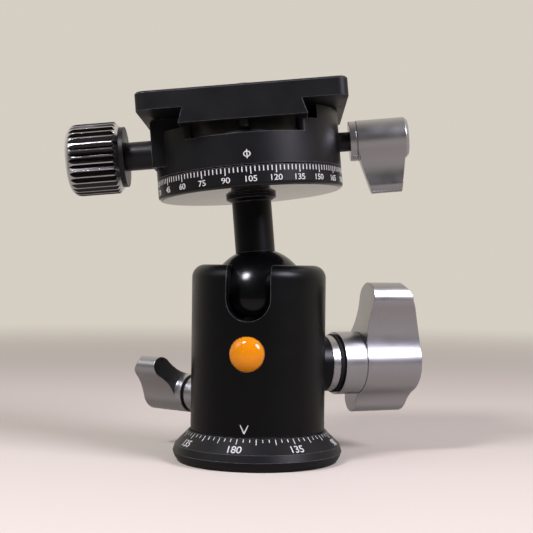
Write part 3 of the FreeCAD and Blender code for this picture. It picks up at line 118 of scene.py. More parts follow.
class Effects:
    """The shader node groups that the finishes share, each built once."""

    def __init__(self) -> None:
        """Starts with no group built."""
        self._groups: dict[str, bpy.types.ShaderNodeTree] = {}

    def _begin(
        self, name: str, inputs: dict[str, float | str], outputs: dict[str, str]
    ) -> tuple[bpy.types.ShaderNodeTree, bpy.types.Node, bpy.types.Node]:
        """Makes a group with its sockets.

        Args:
            name: The group's name.
            inputs: Each input's default number, or "vector".
            outputs: Each output's kind, "value" or "vector".

        Returns:
            The group, its input node and its output node.
        """
        tree = bpy.data.node_groups.new(name, "ShaderNodeTree")
        for title, default in inputs.items():
            kind = "NodeSocketVector" if default == "vector" else "NodeSocketFloat"
            socket = tree.interface.new_socket(title, in_out="INPUT", socket_type=kind)
            if kind == "NodeSocketFloat":
                socket.default_value = default
        for title, word in outputs.items():
            kind = "NodeSocketVector" if word == "vector" else "NodeSocketFloat"
            tree.interface.new_socket(title, in_out="OUTPUT", socket_type=kind)
        self._groups[name] = tree
        return tree, tree.nodes.new("NodeGroupInput"), tree.nodes.new("NodeGroupOutput")

    def turned_lines(self) -> bpy.types.ShaderNodeTree:
        """Fine lathe lines round an axis: a tone and a height, both about a half."""
        if "turned_lines" in self._groups:
            return self._groups["turned_lines"]
        tree, source, sink = self._begin(
            "turned_lines",
            {"Vector": "vector", "Lines per mm": 3.0},
            {"Tone": "value", "Height": "value"},
        )
        wire = Wiring(tree)
        split = wire.node("ShaderNodeSeparateXYZ", Vector=source.outputs["Vector"])
        across = wire.math("MULTIPLY", split.outputs["X"], split.outputs["X"])
        around = wire.math("MULTIPLY", split.outputs["Y"], split.outputs["Y"])
        radius = wire.math("SQRT", wire.math("ADD", across, around))
        run = wire.math("MULTIPLY_ADD", radius, 1.37, split.outputs["Z"])
        per_metre = wire.math("MULTIPLY", source.outputs["Lines per mm"], 1000.0)
        lines = wire.node(
            "ShaderNodeTexNoise",
            noise_dimensions="1D",
            W=wire.math("MULTIPLY", run, per_metre),
            Scale=1.0,
            Detail=3.0,
            Roughness=0.62,
        )
        tree.links.new(lines.outputs["Fac"], sink.inputs["Height"])
        broad = wire.node(
            "ShaderNodeTexNoise",
            noise_dimensions="1D",
            W=wire.math("MULTIPLY", run, 420.0),
            Scale=1.0,
            Detail=2.0,
        )
        tree.links.new(broad.outputs["Fac"], sink.inputs["Tone"])
        return tree

    def fine_grain(self) -> bpy.types.ShaderNodeTree:
        """The grain of a blasted or anodised skin: a tone and a height, both about a half."""
        if "fine_grain" in self._groups:
            return self._groups["fine_grain"]
        tree, source, sink = self._begin(
            "fine_grain",
            {"Vector": "vector", "Grains per mm": 5.0},
            {"Tone": "value", "Height": "value"},
        )
        wire = Wiring(tree)
        per_metre = wire.math("MULTIPLY", source.outputs["Grains per mm"], 1000.0)
        grain = wire.node(
            "ShaderNodeTexNoise",
            Vector=source.outputs["Vector"],
            Scale=per_metre,
            Detail=2.0,
            Roughness=0.6,
        )
        tree.links.new(grain.outputs["Fac"], sink.inputs["Height"])
        cells = wire.node(
            "ShaderNodeTexVoronoi",
            Vector=source.outputs["Vector"],
            Scale=wire.math("MULTIPLY", per_metre, 0.55),
        )
        tree.links.new(cells.outputs["Distance"], sink.inputs["Tone"])
        return tree

    def handling(self) -> bpy.types.ShaderNodeTree:
        """Soft clouds of touch and wiping, from 0 to 1."""
        if "handling" in self._groups:
            return self._groups["handling"]
        tree, source, sink = self._begin(
            "handling", {"Vector": "vector", "Clouds per mm": 0.12}, {"Mask": "value"}
        )
        wire = Wiring(tree)
        clouds = wire.node(
            "ShaderNodeTexNoise",
            Vector=source.outputs["Vector"],
            Scale=wire.math("MULTIPLY", source.outputs["Clouds per mm"], 1000.0),
            Detail=4.0,
            Roughness=0.55,
            Distortion=0.4,
        )
        mask = wire.node("ShaderNodeMapRange", Value=clouds.outputs["Fac"])
        mask.inputs["From Min"].default_value = 0.32
        mask.inputs["From Max"].default_value = 0.68
        tree.links.new(mask.outputs["Result"], sink.inputs["Mask"])
        return tree

    def flanks(self) -> bpy.types.ShaderNodeTree:
        """Painted shade on the sides of grooves that run along an axis: a mask from the normal's
        turn.
        """
        if "flanks" in self._groups:
            return self._groups["flanks"]
        tree, source, sink = self._begin(
            "flanks", {"Vector": "vector", "Normal": "vector"}, {"Mask": "value"}
        )
        wire = Wiring(tree)
        place = wire.node("ShaderNodeSeparateXYZ", Vector=source.outputs["Vector"])
        around = wire.node("ShaderNodeCombineXYZ")
        tree.links.new(wire.math("MULTIPLY", place.outputs["Y"], -1.0), around.inputs["X"])
        tree.links.new(place.outputs["X"], around.inputs["Y"])
        level = wire.node("ShaderNodeVectorMath", operation="NORMALIZE")
        tree.links.new(around.outputs["Vector"], level.inputs[0])
        agree = wire.node("ShaderNodeVectorMath", operation="DOT_PRODUCT")
        tree.links.new(level.outputs["Vector"], agree.inputs[0])
        tree.links.new(source.outputs["Normal"], agree.inputs[1])
        side = wire.math("ABSOLUTE", agree.outputs["Value"])
        mask = wire.node("ShaderNodeMapRange", Value=side)
        mask.inputs["From Min"].default_value = 0.2
        mask.inputs["From Max"].default_value = 0.5
        tree.links.new(mask.outputs["Result"], sink.inputs["Mask"])
        return tree

    def broken_edge(self) -> bpy.types.ShaderNodeTree:
        """The small broken edge of a machined piece: its normal, and a mask of where it is."""
        if "broken_edge" in self._groups:
            return self._groups["broken_edge"]
        tree, source, sink = self._begin(
            "broken_edge",
            {"Radius mm": 0.25, "Vector": "vector"},
            {"Mask": "value", "Normal": "vector"},
        )
        wire = Wiring(tree)
        bevel = wire.node(
            "ShaderNodeBevel",
            samples=4,
            Radius=wire.math("MULTIPLY", source.outputs["Radius mm"], MM),
        )
        flat = wire.node("ShaderNodeNewGeometry")
        agree = wire.node("ShaderNodeVectorMath", operation="DOT_PRODUCT")
        tree.links.new(bevel.outputs["Normal"], agree.inputs[0])
        tree.links.new(flat.outputs["Normal"], agree.inputs[1])
        patches = wire.node(
            "ShaderNodeTexNoise", Vector=source.outputs["Vector"], Scale=700.0, Detail=2.0
        )
        edge = wire.node("ShaderNodeMapRange", Value=agree.outputs["Value"])
        edge.inputs["From Min"].default_value = 0.995
        edge.inputs["From Max"].default_value = 0.93
        mask = wire.math("MULTIPLY", edge.outputs["Result"], patches.outputs["Fac"])
        tree.links.new(mask, sink.inputs["Mask"])
        tree.links.new(bevel.outputs["Normal"], sink.inputs["Normal"])
        return tree


class Wiring:
    """Short ways to place and link nodes in one tree."""

    def __init__(self, tree: bpy.types.NodeTree) -> None:
        """Keeps the tree."""
        self.tree = tree

    def node(self, kind: str, **settings: object) -> bpy.types.Node:
        """Places a node.

        Args:
            kind: The node's type.
            settings: Its attributes by small names and its inputs by their titles, where a
                socket is linked and anything else is set.

        Returns:
            The node.
        """
        made = self.tree.nodes.new(kind)
        for title, value in settings.items():
            if title[0].islower():
                setattr(made, title, value)
        for title, value in settings.items():
            if title[0].islower():
                continue
            self.feed(made.inputs[title.replace("_", " ")], value)
        return made

    def feed(self, socket: bpy.types.NodeSocket, value: object) -> None:
        """Links a socket to another, or sets its value."""
        if isinstance(value, bpy.types.NodeSocket):
            self.tree.links.new(value, socket)
        else:
            socket.default_value = value

    def math(self, operation: str, *values: object) -> bpy.types.NodeSocket:
        """Gives a Math node's output for one to three values or sockets."""
        made = self.tree.nodes.new("ShaderNodeMath")
        made.operation = operation
        for socket, value in zip(made.inputs, values):
            self.feed(socket, value)
        return made.outputs["Value"]

    def group(self, tree: bpy.types.ShaderNodeTree, **settings: object) -> bpy.types.Node:
        """Places a node group, with its inputs by title."""
        made = self.tree.nodes.new("ShaderNodeGroup")
        made.node_tree = tree
        for title, value in settings.items():
            self.feed(made.inputs[title.replace("_", " ")], value)
        return made

    def mix(self, mask: object, low: object, high: object) -> bpy.types.NodeSocket:
        """Gives the colour between two colours by a mask."""
        made = self.tree.nodes.new("ShaderNodeMix")
        made.data_type = "RGBA"
        self.feed(made.inputs[0], mask)
        self.feed(made.inputs[6], low)
        self.feed(made.inputs[7], high)
        return made.outputs[2]

    def span(self, value: object, low: float, high: float) -> bpy.types.NodeSocket:
        """Gives a value of 0 to 1 spread from low to high."""
        return self.math("MULTIPLY_ADD", value, high - low, low)


EFFECTS = Effects()


@dataclass(frozen=True)
class Finish:
    """One surface finish, and the numbers of its wear, grain, tool marks and painted groove shade.
    """

    name: str
    slot: str
    colour: Colour
    worn: Colour
    roughness: float
    rougher: float
    metallic: float = 0.0
    specular: float = 0.5
    coat_roughness: float = 0.1
    edge_mm: float = 0.25
    lines_per_mm: float = 3.0
    line_depth_mm: float = 0.0
    line_tone: float = 0.0
    grains_per_mm: float = 5.0
    grain_depth_mm: float = 0.0
    grain_tone: float = 0.0
    # The colour of painted shade on the sides of grooves, or none.
    flank: Colour | None = None
    dome_mm: float = 0.0
    dome_rim_mm: float = 5.3
    mirror_below: float = 0.0

    def material(self, axis: Axis) -> bpy.types.Material:
        """Gives the finish's material, with its tool marks round an axis.

        Args:
            axis: The axis that the piece was turned about.

        Returns:
            The material, made at its first use.
        """
        title = f"{self.name}_{axis.value}"
        if title in bpy.data.materials:
            return bpy.data.materials[title]
        made = bpy.data.materials.new(title)
        made.use_nodes = True
        made.diffuse_color = (*self.colour, 1.0)
        tree = made.node_tree
        shader = tree.nodes["Principled BSDF"]
        wire = Wiring(tree)
        place = self.axis_coordinates(wire, axis)
        edge = wire.group(EFFECTS.broken_edge(), Radius_mm=self.edge_mm, Vector=place)
        touch = wire.group(EFFECTS.handling(), Vector=place)
        colour = wire.mix(edge.outputs["Mask"], self._toned(wire, place), (*self.worn, 1.0))
        # The sides of grooves take a darker colour here: painted shade in the grooves.
        if self.flank is not None:
            normal = self._turned_normal(wire, axis)
            sides = wire.group(EFFECTS.flanks(), Vector=place, Normal=normal)
            colour = wire.mix(sides.outputs["Mask"], colour, (*self.flank, 1.0))
        tree.links.new(colour, shader.inputs["Base Color"])
        rough = wire.span(touch.outputs["Mask"], self.roughness, self.rougher)
        tree.links.new(rough, shader.inputs["Roughness"])
        tree.links.new(self._relief(wire, place, edge), shader.inputs["Normal"])
        shader.inputs["Metallic"].default_value = self.metallic
        shader.inputs["Specular IOR Level"].default_value = self.specular
        if self.mirror_below:
            way = wire.node("ShaderNodeSeparateXYZ", Vector=self._turned_normal(wire, axis))
            below = wire.math("LESS_THAN", way.outputs["Z"], LOOKS_DOWN)
            wire.feed(shader.inputs["Coat Weight"], wire.math("MULTIPLY", below, self.mirror_below))
        shader.inputs["Coat Roughness"].default_value = self.coat_roughness
        return made

    def axis_coordinates(self, wire: Wiring, axis: Axis) -> bpy.types.NodeSocket:
        """Gives the place in the axis's frame, from the object's own coordinates."""
        inverse = axis.frame().inverted()
        where = wire.node("ShaderNodeTexCoord")
        turned = wire.node("ShaderNodeMapping", Vector=where.outputs["Object"])
        turned.inputs["Location"].default_value = inverse.to_translation()
        turned.inputs["Rotation"].default_value = inverse.to_euler()
        return turned.outputs["Vector"]

    def _turned_normal(self, wire: Wiring, axis: Axis) -> bpy.types.NodeSocket:
        """Gives the surface's normal in the axis's frame."""
        where = wire.node("ShaderNodeTexCoord")
        turned = wire.node(
            "ShaderNodeMapping", vector_type="NORMAL", Vector=where.outputs["Normal"]
        )
        turned.inputs["Rotation"].default_value = axis.frame().inverted().to_euler()
        return turned.outputs["Vector"]

    def _toned(self, wire: Wiring, place: bpy.types.NodeSocket) -> bpy.types.NodeSocket:
        """Gives the colour with the tone of its lines and grain."""
        lines = wire.group(
            EFFECTS.turned_lines(), Vector=place, Lines_per_mm=self.lines_per_mm
        )
        grain = wire.group(
            EFFECTS.fine_grain(), Vector=place, Grains_per_mm=self.grains_per_mm
        )
        tone = wire.math(
            "MULTIPLY_ADD",
            lines.outputs["Tone"],
            self.line_tone,
            wire.math("MULTIPLY", grain.outputs["Tone"], self.grain_tone),
        )
        dark = tuple(c * (1.0 - 0.5 * (self.line_tone + self.grain_tone)) for c in self.colour)
        light = tuple(min(1.0, c * 1.5) for c in self.colour)
        return wire.mix(tone, (*dark, 1.0), (*light, 1.0))

    def _relief(
        self, wire: Wiring, place: bpy.types.NodeSocket, edge: bpy.types.Node
    ) -> bpy.types.NodeSocket:
        """Gives the normal of the broken edges with the lines and grain on them."""
        normal = edge.outputs["Normal"]
        marks = (
            (EFFECTS.turned_lines(), "Lines per mm", self.lines_per_mm, self.line_depth_mm),
            (EFFECTS.fine_grain(), "Grains per mm", self.grains_per_mm, self.grain_depth_mm),
        )
        for tree, title, density, depth in marks:
            if depth:
                made = wire.group(tree, Vector=place)
                made.inputs[title].default_value = density
                bump = wire.node(
                    "ShaderNodeBump",
                    Distance=depth * MM,
                    Height=made.outputs["Height"],
                    Normal=normal,
                )
                normal = bump.outputs["Normal"]
        if self.dome_mm:
            normal = self._domed(wire, place, normal)
        return normal

    def _domed(
        self, wire: Wiring, place: bpy.types.NodeSocket, normal: bpy.types.NodeSocket
    ) -> bpy.types.NodeSocket:
        """Gives the normal of a poured dome, which falls away towards its rim."""
        split = wire.node("ShaderNodeSeparateXYZ", Vector=place)
        across = wire.math("MULTIPLY", split.outputs["X"], split.outputs["X"])
        around = wire.math("MULTIPLY", split.outputs["Y"], split.outputs["Y"])
        square = wire.math("ADD", across, around)
        share = wire.math("MULTIPLY", square, (self.dome_rim_mm * MM) ** -2)
        fall = wire.math("MULTIPLY", wire.math("MULTIPLY", share, share), -1.0)
        bump = wire.node(
            "ShaderNodeBump", Distance=self.dome_mm * MM, Height=fall, Normal=normal
        )
        return bump.outputs["Normal"]


BLACK_ANODISED = Finish(
    name="black_anodised",
    slot="black_anodised",
    colour=(0.0016, 0.0016, 0.0019),
    worn=(0.3, 0.29, 0.33),
    roughness=0.3,
    rougher=0.38,
    specular=0.2,
    edge_mm=0.18,
    grains_per_mm=7.0,
    grain_depth_mm=0.006,
    grain_tone=0.4,
    lines_per_mm=2.0,
    line_depth_mm=0.0012,
)
SATIN_BLACK = Finish(
    name="satin_black",
    slot="black_anodised",
    colour=(0.0022, 0.0022, 0.0028),
    worn=(0.36, 0.35, 0.39),
    roughness=0.38,
    rougher=0.46,
    specular=0.3,
    edge_mm=0.18,
    grains_per_mm=6.0,
    grain_depth_mm=0.008,
    grain_tone=0.4,
)
MIRRORED_BLACK = replace(
    SATIN_BLACK, name="mirrored_black", mirror_below=1.0, coat_roughness=0.05
)
POLISHED_BLACK = Finish(
    name="polished_black",
    slot="black_anodised",
    colour=(0.0015, 0.0015, 0.0018),
    worn=(0.02, 0.02, 0.024),
    roughness=0.16,
    rougher=0.24,
    specular=0.35,
    lines_per_mm=3.5,
    line_depth_mm=0.0018,
    line_tone=0.5,
)
BLASTED_BLACK = Finish(
    name="blasted_black",
    slot="black_blasted",
    colour=(0.0022, 0.0022, 0.003),
    worn=(0.2, 0.19, 0.22),
    roughness=0.4,
    rougher=0.5,
    specular=0.3,
    edge_mm=0.3,
    grains_per_mm=2.4,
    grain_depth_mm=0.035,
    grain_tone=0.9,
)
SATIN_SILVER = Finish(
    name="satin_silver",
    slot="satin_silver",
    colour=(0.5, 0.495, 0.51),
    worn=(0.8, 0.79, 0.82),
    roughness=0.27,
    rougher=0.34,
    metallic=1.0,
    edge_mm=0.3,
    grains_per_mm=7.0,
    grain_depth_mm=0.0025,
    grain_tone=0.1,
)
TURNED_SILVER = Finish(
    name="turned_silver",
    slot="satin_silver",
    colour=(0.5, 0.495, 0.51),
    worn=(0.8, 0.79, 0.82),
    roughness=0.24,
    rougher=0.3,
    metallic=1.0,
    edge_mm=0.25,
    lines_per_mm=3.0,
    line_depth_mm=0.0015,
    line_tone=0.08,
)
CHROME_KNURL = Finish(
    name="chrome_knurl",
    slot="chrome_knurl",
    colour=(0.74, 0.74, 0.76),
    worn=(0.95, 0.95, 0.95),
    roughness=0.13,
    rougher=0.2,
    metallic=1.0,
    edge_mm=0.12,
    grains_per_mm=3.0,
    grain_tone=0.1,
    # Painted shade: the dark colour that the sides of the knurl's grooves take.
    flank=(0.05, 0.048, 0.05),
)
BLACKENED_STEEL = Finish(
    name="blackened_steel",
    slot="blackened_steel",
    colour=(0.012, 0.012, 0.013),
    worn=(0.12, 0.12, 0.12),
    roughness=0.32,
    rougher=0.42,
    metallic=0.4,
    edge_mm=0.15,
    lines_per_mm=4.0,
    line_depth_mm=0.002,
)
PLAIN_STEEL = Finish(
    name="plain_steel",
    slot="plain_steel",
    colour=(0.5, 0.5, 0.51),
    worn=(0.8, 0.8, 0.8),
    roughness=0.28,
    rougher=0.4,
    metallic=1.0,
    edge_mm=0.12,
    lines_per_mm=4.0,
    line_depth_mm=0.003,
)
BLACK_RUBBER = Finish(
    name="black_rubber",
    slot="black_rubber",
    colour=(0.006, 0.006, 0.006),
    worn=(0.02, 0.02, 0.02),
    roughness=0.6,
    rougher=0.72,
    specular=0.3,
    grains_per_mm=3.0,
    grain_depth_mm=0.02,
    grain_tone=0.3,
)
ACETAL = Finish(
    name="acetal",
    slot="bearing_plastic",
    colour=(0.66, 0.65, 0.6),
    worn=(0.8, 0.79, 0.75),
    roughness=0.4,
    rougher=0.5,
    lines_per_mm=2.5,
    line_depth_mm=0.002,
)
BLACK_ACETAL = replace(
    ACETAL, name="black_acetal", colour=(0.004, 0.004, 0.004), worn=(0.02, 0.02, 0.02), specular=0.3
)
BRASS = Finish(
    name="brass",
    slot="brass",
    colour=(0.66, 0.47, 0.2),
    worn=(0.85, 0.68, 0.38),
    roughness=0.26,
    rougher=0.36,
    metallic=1.0,
    lines_per_mm=3.0,
    line_depth_mm=0.003,
)
ORANGE_RESIN = Finish(
    name="orange_resin",
    slot="orange_resin",
    colour=(0.68, 0.225, 0.003),
    worn=(0.4, 0.1, 0.002),
    roughness=0.07,
    rougher=0.1,
    specular=0.45,
    edge_mm=0.6,
    grains_per_mm=3.0,
    grain_tone=0.12,
    dome_mm=1.15,
)
WHITE_FILL = Finish(
    name="white_fill",
    slot="black_anodised",
    colour=(0.58, 0.58, 0.57),
    worn=(0.62, 0.62, 0.61),
    roughness=0.5,
    rougher=0.62,
    specular=0.4,
    edge_mm=0.05,
    grains_per_mm=6.0,
    grain_tone=0.5,
)


# ---------------------------------------------------------------- mesh helpers


@dataclass
class Shape:
    """Points and faces that are gathered before they become one mesh."""

    points: list[Vector] = field(default_factory=list)
    faces: list[tuple[int, ...]] = field(default_factory=list)

    def add(self, points: Iterable[Point | Vector], faces: Iterable[tuple[int, ...]]) -> None:
        """Adds more points and faces, counted from the new points."""
        start = len(self.points)
        self.points.extend(Vector(p) for p in points)
        self.faces.extend(tuple(start + i for i in face) for face in faces)

    def bar(self, left: float, right: float, low: float, high: float, deep: float) -> None:
        """Adds a flat bar from its sides, ends and half thickness, in millimetres."""
        corners = [
            (x, y, z) for z in (-deep, deep) for x, y in
            ((left, low), (right, low), (right, high), (left, high))
        ]
        sides = [(i, (i + 1) % 4, 4 + (i + 1) % 4, 4 + i) for i in range(4)]
        self.add(corners, [(3, 2, 1, 0), (4, 5, 6, 7), *sides])

    def mapped(self, place: Callable[[Vector], Vector]) -> "Shape":
        """Gives the shape with each point put through a function."""
        return Shape([place(p) for p in self.points], list(self.faces))

    def piece(self, name: str, body: str, finish: Finish, axis: Axis) -> bpy.types.Object:
        """Makes the shape, in millimetres, a dressed piece that rides on a body.

        Args:
            name: The piece's name.
            body: The CAD body that carries it.
            finish: Its finish.
            axis: The axis of its tool marks.

        Returns:
            The new object.
        """
        mesh = bpy.data.meshes.new(name)
        mesh.from_pydata([p * MM for p in self.points], [], self.faces)
        mesh.validate()
        mesh.update()
        made = bpy.data.objects.new(name, mesh)
        bpy.context.scene.collection.objects.link(made)
        made.data.materials.append(finish.material(axis))
        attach(made, body)
        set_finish(made, finish.slot)
        LOG.info("piece %s on %s: %d faces", name, body, len(self.faces))
        return made


def lettering(words: str, height: float, wide: float) -> Shape:
    """Draws a number with the built-in font, centred on x and standing on y = 0.

    Args:
        words: The digits.
        height: Their height in millimetres.
        wide: How much wider the digits are than the font's own.

    Returns:
        The shape in millimetres.
    """
    curve = bpy.data.curves.new("digits", "FONT")
    curve.body = words
    curve.offset = STROKE_OFFSET
    curve.space_character = DIGIT_SPACING
    curve.extrude = 1.0
    curve.resolution_u = 4
    holder = bpy.data.objects.new("digits", curve)
    mesh = bpy.data.meshes.new_from_object(holder)
    low = Vector([min(v.co[i] for v in mesh.vertices) for i in range(3)])
    high = Vector([max(v.co[i] for v in mesh.vertices) for i in range(3)])
    scale = height / (high.y - low.y)
    middle = 0.5 * (low.x + high.x)
    shape = Shape()
    shape.add(
        [((v.co.x - middle) * scale * wide, (v.co.y - low.y) * scale,
          v.co.z * MARK_HALF_DEPTH) for v in mesh.vertices],
        [tuple(p.vertices) for p in mesh.polygons],
    )
    bpy.data.objects.remove(holder)
    bpy.data.meshes.remove(mesh)
    bpy.data.curves.remove(curve)
    return shape


def dress(finish: Finish, axis: Axis, *nodes: str) -> None:
    """Gives CAD nodes a finish.

    Args:
        finish: The finish.
        axis: The axis that the nodes were turned about.
        nodes: The nodes' names.
    """
    for name in nodes:
        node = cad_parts[name]
        node.data.materials.clear()
        node.data.materials.append(finish.material(axis))
        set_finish(node, finish.slot)
        LOG.info("node %s: %s", name, finish.name)


# ---------------------------------------------------------------- sub-assemblies


@dataclass
class Foot:
    """The foot with its engraved dial, and the hidden pieces that hold the housing on it."""

    cone_radius: float = 25.8
    cone_height: float = 5.2
    tick_inner: float = 21.75
    short_outer: float = 22.55
    long_outer: float = 23.15
    tick_width: float = 0.24
    number_base: float = 25.35
    number_height: float = 2.5
    number_width: float = 0.98
    zero_turn: float = -6.4

    def on_cone(self, turn: float) -> Callable[[Vector], Vector]:
        """Gives the map from flat marks to the cone.

        Args:
            turn: The marks' place round the foot, in degrees from -Y towards +X.

        Returns:
            A function of a flat point whose x runs round and whose y is the radius.
        """

        def place(flat: Vector) -> Vector:
            """Puts one flat point on the cone."""
            lift = (flat.z + MARK_PROUD) * math.sqrt(0.5)
            radius = flat.y + lift
            height = self.cone_height + self.cone_radius - flat.y + lift
            angle = math.radians(turn) + flat.x / flat.y
            return Vector((radius * math.sin(angle), -radius * math.cos(angle), height))

        return place

    def dial(self) -> None:
        """Adds the ticks at every 5 degrees and the numbers at every 45."""
        ticks, numbers = Shape(), Shape()
        half = 0.5 * self.tick_width
        for step in range(72):
            bar = Shape()
            outer = self.long_outer if step % 3 == 0 else self.short_outer
            bar.bar(-half, half, outer, self.tick_inner, MARK_HALF_DEPTH)
            bar = bar.mapped(self.on_cone(self.zero_turn + 5.0 * step))
            ticks.add(bar.points, [tuple(reversed(f)) for f in bar.faces])
        for step in range(8):
            away = 45 * min(step, 8 - step)
            flat = lettering(str(180 - away), self.number_height, self.number_width)
            slope = math.sqrt(0.5)
            down = Shape([Vector((p.x, self.number_base - p.y * slope, p.z)) for p in flat.points],
                         flat.faces)
            placed = down.mapped(self.on_cone(self.zero_turn + 45.0 * step))
            numbers.add(placed.points, placed.faces)
        ticks.piece("foot_dial_ticks", "base", WHITE_FILL, Axis.HOUSING)
        numbers.piece("foot_dial_numbers", "base", WHITE_FILL, Axis.HOUSING)

    def build(self) -> None:
        """Dresses the foot."""
        dress(SATIN_BLACK, Axis.HOUSING, "base_plate")
        dress(PLAIN_STEEL, Axis.HOUSING, "thread_insert", "base_retainer")
        dress(BLACKENED_STEEL, Axis.HOUSING, "retainer_screws")
        dress(ACETAL, Axis.HOUSING, "base_washer")
        self.dial()


@dataclass
class Housing:
    """The notched housing with its index, badge, knob collars and lock."""

    radius: float = 21.0
    index_tip: float = 10.7
    index_height: float = 2.65
    index_width: float = 2.7
    index_stroke: float = 0.27
    index_turn: float = -1.5
    index_point: float = 0.18

    def index(self) -> None:
        """Adds the V that points at the foot's dial."""
        half, rise, stroke = 0.5 * self.index_width, self.index_height, self.index_stroke
        shape = Shape()
        slant = math.atan2(half, rise)
        inset = stroke / math.cos(slant)
        outline = [
            (-half, rise), (-half + inset, rise), (0.0, inset / math.tan(slant)),
            (half - inset, rise), (half, rise),
            (self.index_point, 0.0), (-self.index_point, 0.0),
        ]
        count = len(outline)
        depths = (-MARK_HALF_DEPTH, MARK_HALF_DEPTH)
        points = [(x, y, z) for z in depths for x, y in outline]
        front = [(7, 8, 9, 13), (9, 10, 11, 12), (9, 12, 13)]
        front = [tuple(reversed(f)) for f in front]
        back = [tuple(i - count for i in reversed(f)) for f in front]
        sides = [(i, (i + 1) % count, count + (i + 1) % count, count + i) for i in range(count)]
        shape.add(points, front + back + [tuple(reversed(f)) for f in sides])

        def place(flat: Vector) -> Vector:
            """Puts a flat point on the housing's wall."""
            angle = math.radians(self.index_turn) + flat.x / self.radius
            radius = self.radius + MARK_PROUD + flat.z
            height = self.index_tip + flat.y
            return Vector((radius * math.sin(angle), -radius * math.cos(angle), height))

        shape.mapped(place).piece("housing_index", "housing", WHITE_FILL, Axis.HOUSING)

    def build(self) -> None:
        """Dresses the housing."""
        dress(BLACK_ANODISED, Axis.HOUSING, "housing")
        dress(ORANGE_RESIN, Axis.BADGE, "badge")
        dress(BLACK_ANODISED, Axis.MAIN_KNOB, "main_knob_collar")
        dress(TURNED_SILVER, Axis.MAIN_KNOB, "main_knob_ring")
        dress(TURNED_SILVER, Axis.PAN_KNOB, "pan_ring")
        dress(BLACK_ACETAL, Axis.HOUSING, "seat_ring", "pressure_cup")
        dress(PLAIN_STEEL, Axis.HOUSING, "wedge_seat")
        dress(BRASS, Axis.HOUSING, "clamp_wedge")
        self.index()


@dataclass
class Knobs:
    """The two winged knobs on the housing with their seals and screws."""

    def build(self) -> None:
        """Dresses both knobs."""
        dress(SATIN_SILVER, Axis.MAIN_KNOB, "main_knob")
        dress(BLACK_RUBBER, Axis.MAIN_KNOB, "main_knob_seal")
        dress(PLAIN_STEEL, Axis.MAIN_KNOB, "main_screw")
        dress(BLACKENED_STEEL, Axis.MAIN_KNOB, "knob_set_screw")
        dress(SATIN_SILVER, Axis.PAN_KNOB, "pan_knob")
        dress(BLACK_RUBBER, Axis.PAN_KNOB, "pan_seal")
        dress(PLAIN_STEEL, Axis.PAN_KNOB, "pan_screw")
        dress(BRASS, Axis.PAN_KNOB, "pan_pad")


@dataclass
class BallAndStem:
    """The ball, its neck and the engraved disc on top of it."""

    disc_radius: float = 29.0
    tick_top: float = 38.0
    short_tick: float = 1.5
    long_tick: float = 2.2
    tick_width: float = 0.32
    number_base: float = 33.55
    number_height: float = 1.75
    number_width: float = 1.16
    label_zero: float = -94.7

    def on_disc(self, turn: float) -> Callable[[Vector], Vector]:
        """Gives the map from flat marks to the disc's wall.

        Args:
            turn: The marks' place round the disc, in degrees from -Y towards +X.

        Returns:
            A function of a flat point whose x runs round and whose y is the height.
        """

        def place(flat: Vector) -> Vector:
            """Puts one flat point on the wall."""
            angle = math.radians(turn) + flat.x / self.disc_radius
            radius = self.disc_radius + MARK_PROUD + flat.z
            local = Vector((radius * math.sin(angle), -radius * math.cos(angle), flat.y))
            return (STEM @ (local * MM)) / MM

        return place

    def dial(self) -> None:
        """Adds the ticks at every 2.5 degrees and the numbers at every 15."""
        ticks, numbers = Shape(), Shape()
        half = 0.5 * self.tick_width
        for step in range(144):
            bar = Shape()
            long = self.long_tick if step % 6 == 0 else self.short_tick
            bar.bar(-half, half, self.tick_top - long, self.tick_top, MARK_HALF_DEPTH)
            bar = bar.mapped(self.on_disc(self.label_zero + 2.5 * step))
            ticks.add(bar.points, bar.faces)
        for label in range(0, 360, 15):
            flat = lettering(str(label), self.number_height, self.number_width)
            raised = Shape([p + Vector((0, self.number_base, 0)) for p in flat.points], flat.faces)
            placed = raised.mapped(self.on_disc(self.label_zero + label))
            numbers.add(placed.points, placed.faces)
        ticks.piece("disc_dial_ticks", "spin_group", WHITE_FILL, Axis.STEM)
        numbers.piece("disc_dial_numbers", "spin_group", WHITE_FILL, Axis.STEM)

    def build(self) -> None:
        """Dresses the ball, the stem and the disc."""
        dress(POLISHED_BLACK, Axis.STEM, "ball")
        dress(PLAIN_STEEL, Axis.STEM, "stem_bolt")
        dress(BLACK_ANODISED, Axis.STEM, "stem")
        dress(MIRRORED_BLACK, Axis.STEM, "dial_disc")
        dress(ACETAL, Axis.STEM, "top_washer")
        dress(BLACK_ANODISED, Axis.STEM, "top_retainer")
        dress(BLACKENED_STEEL, Axis.STEM, "top_retainer_screws")
        self.dial()


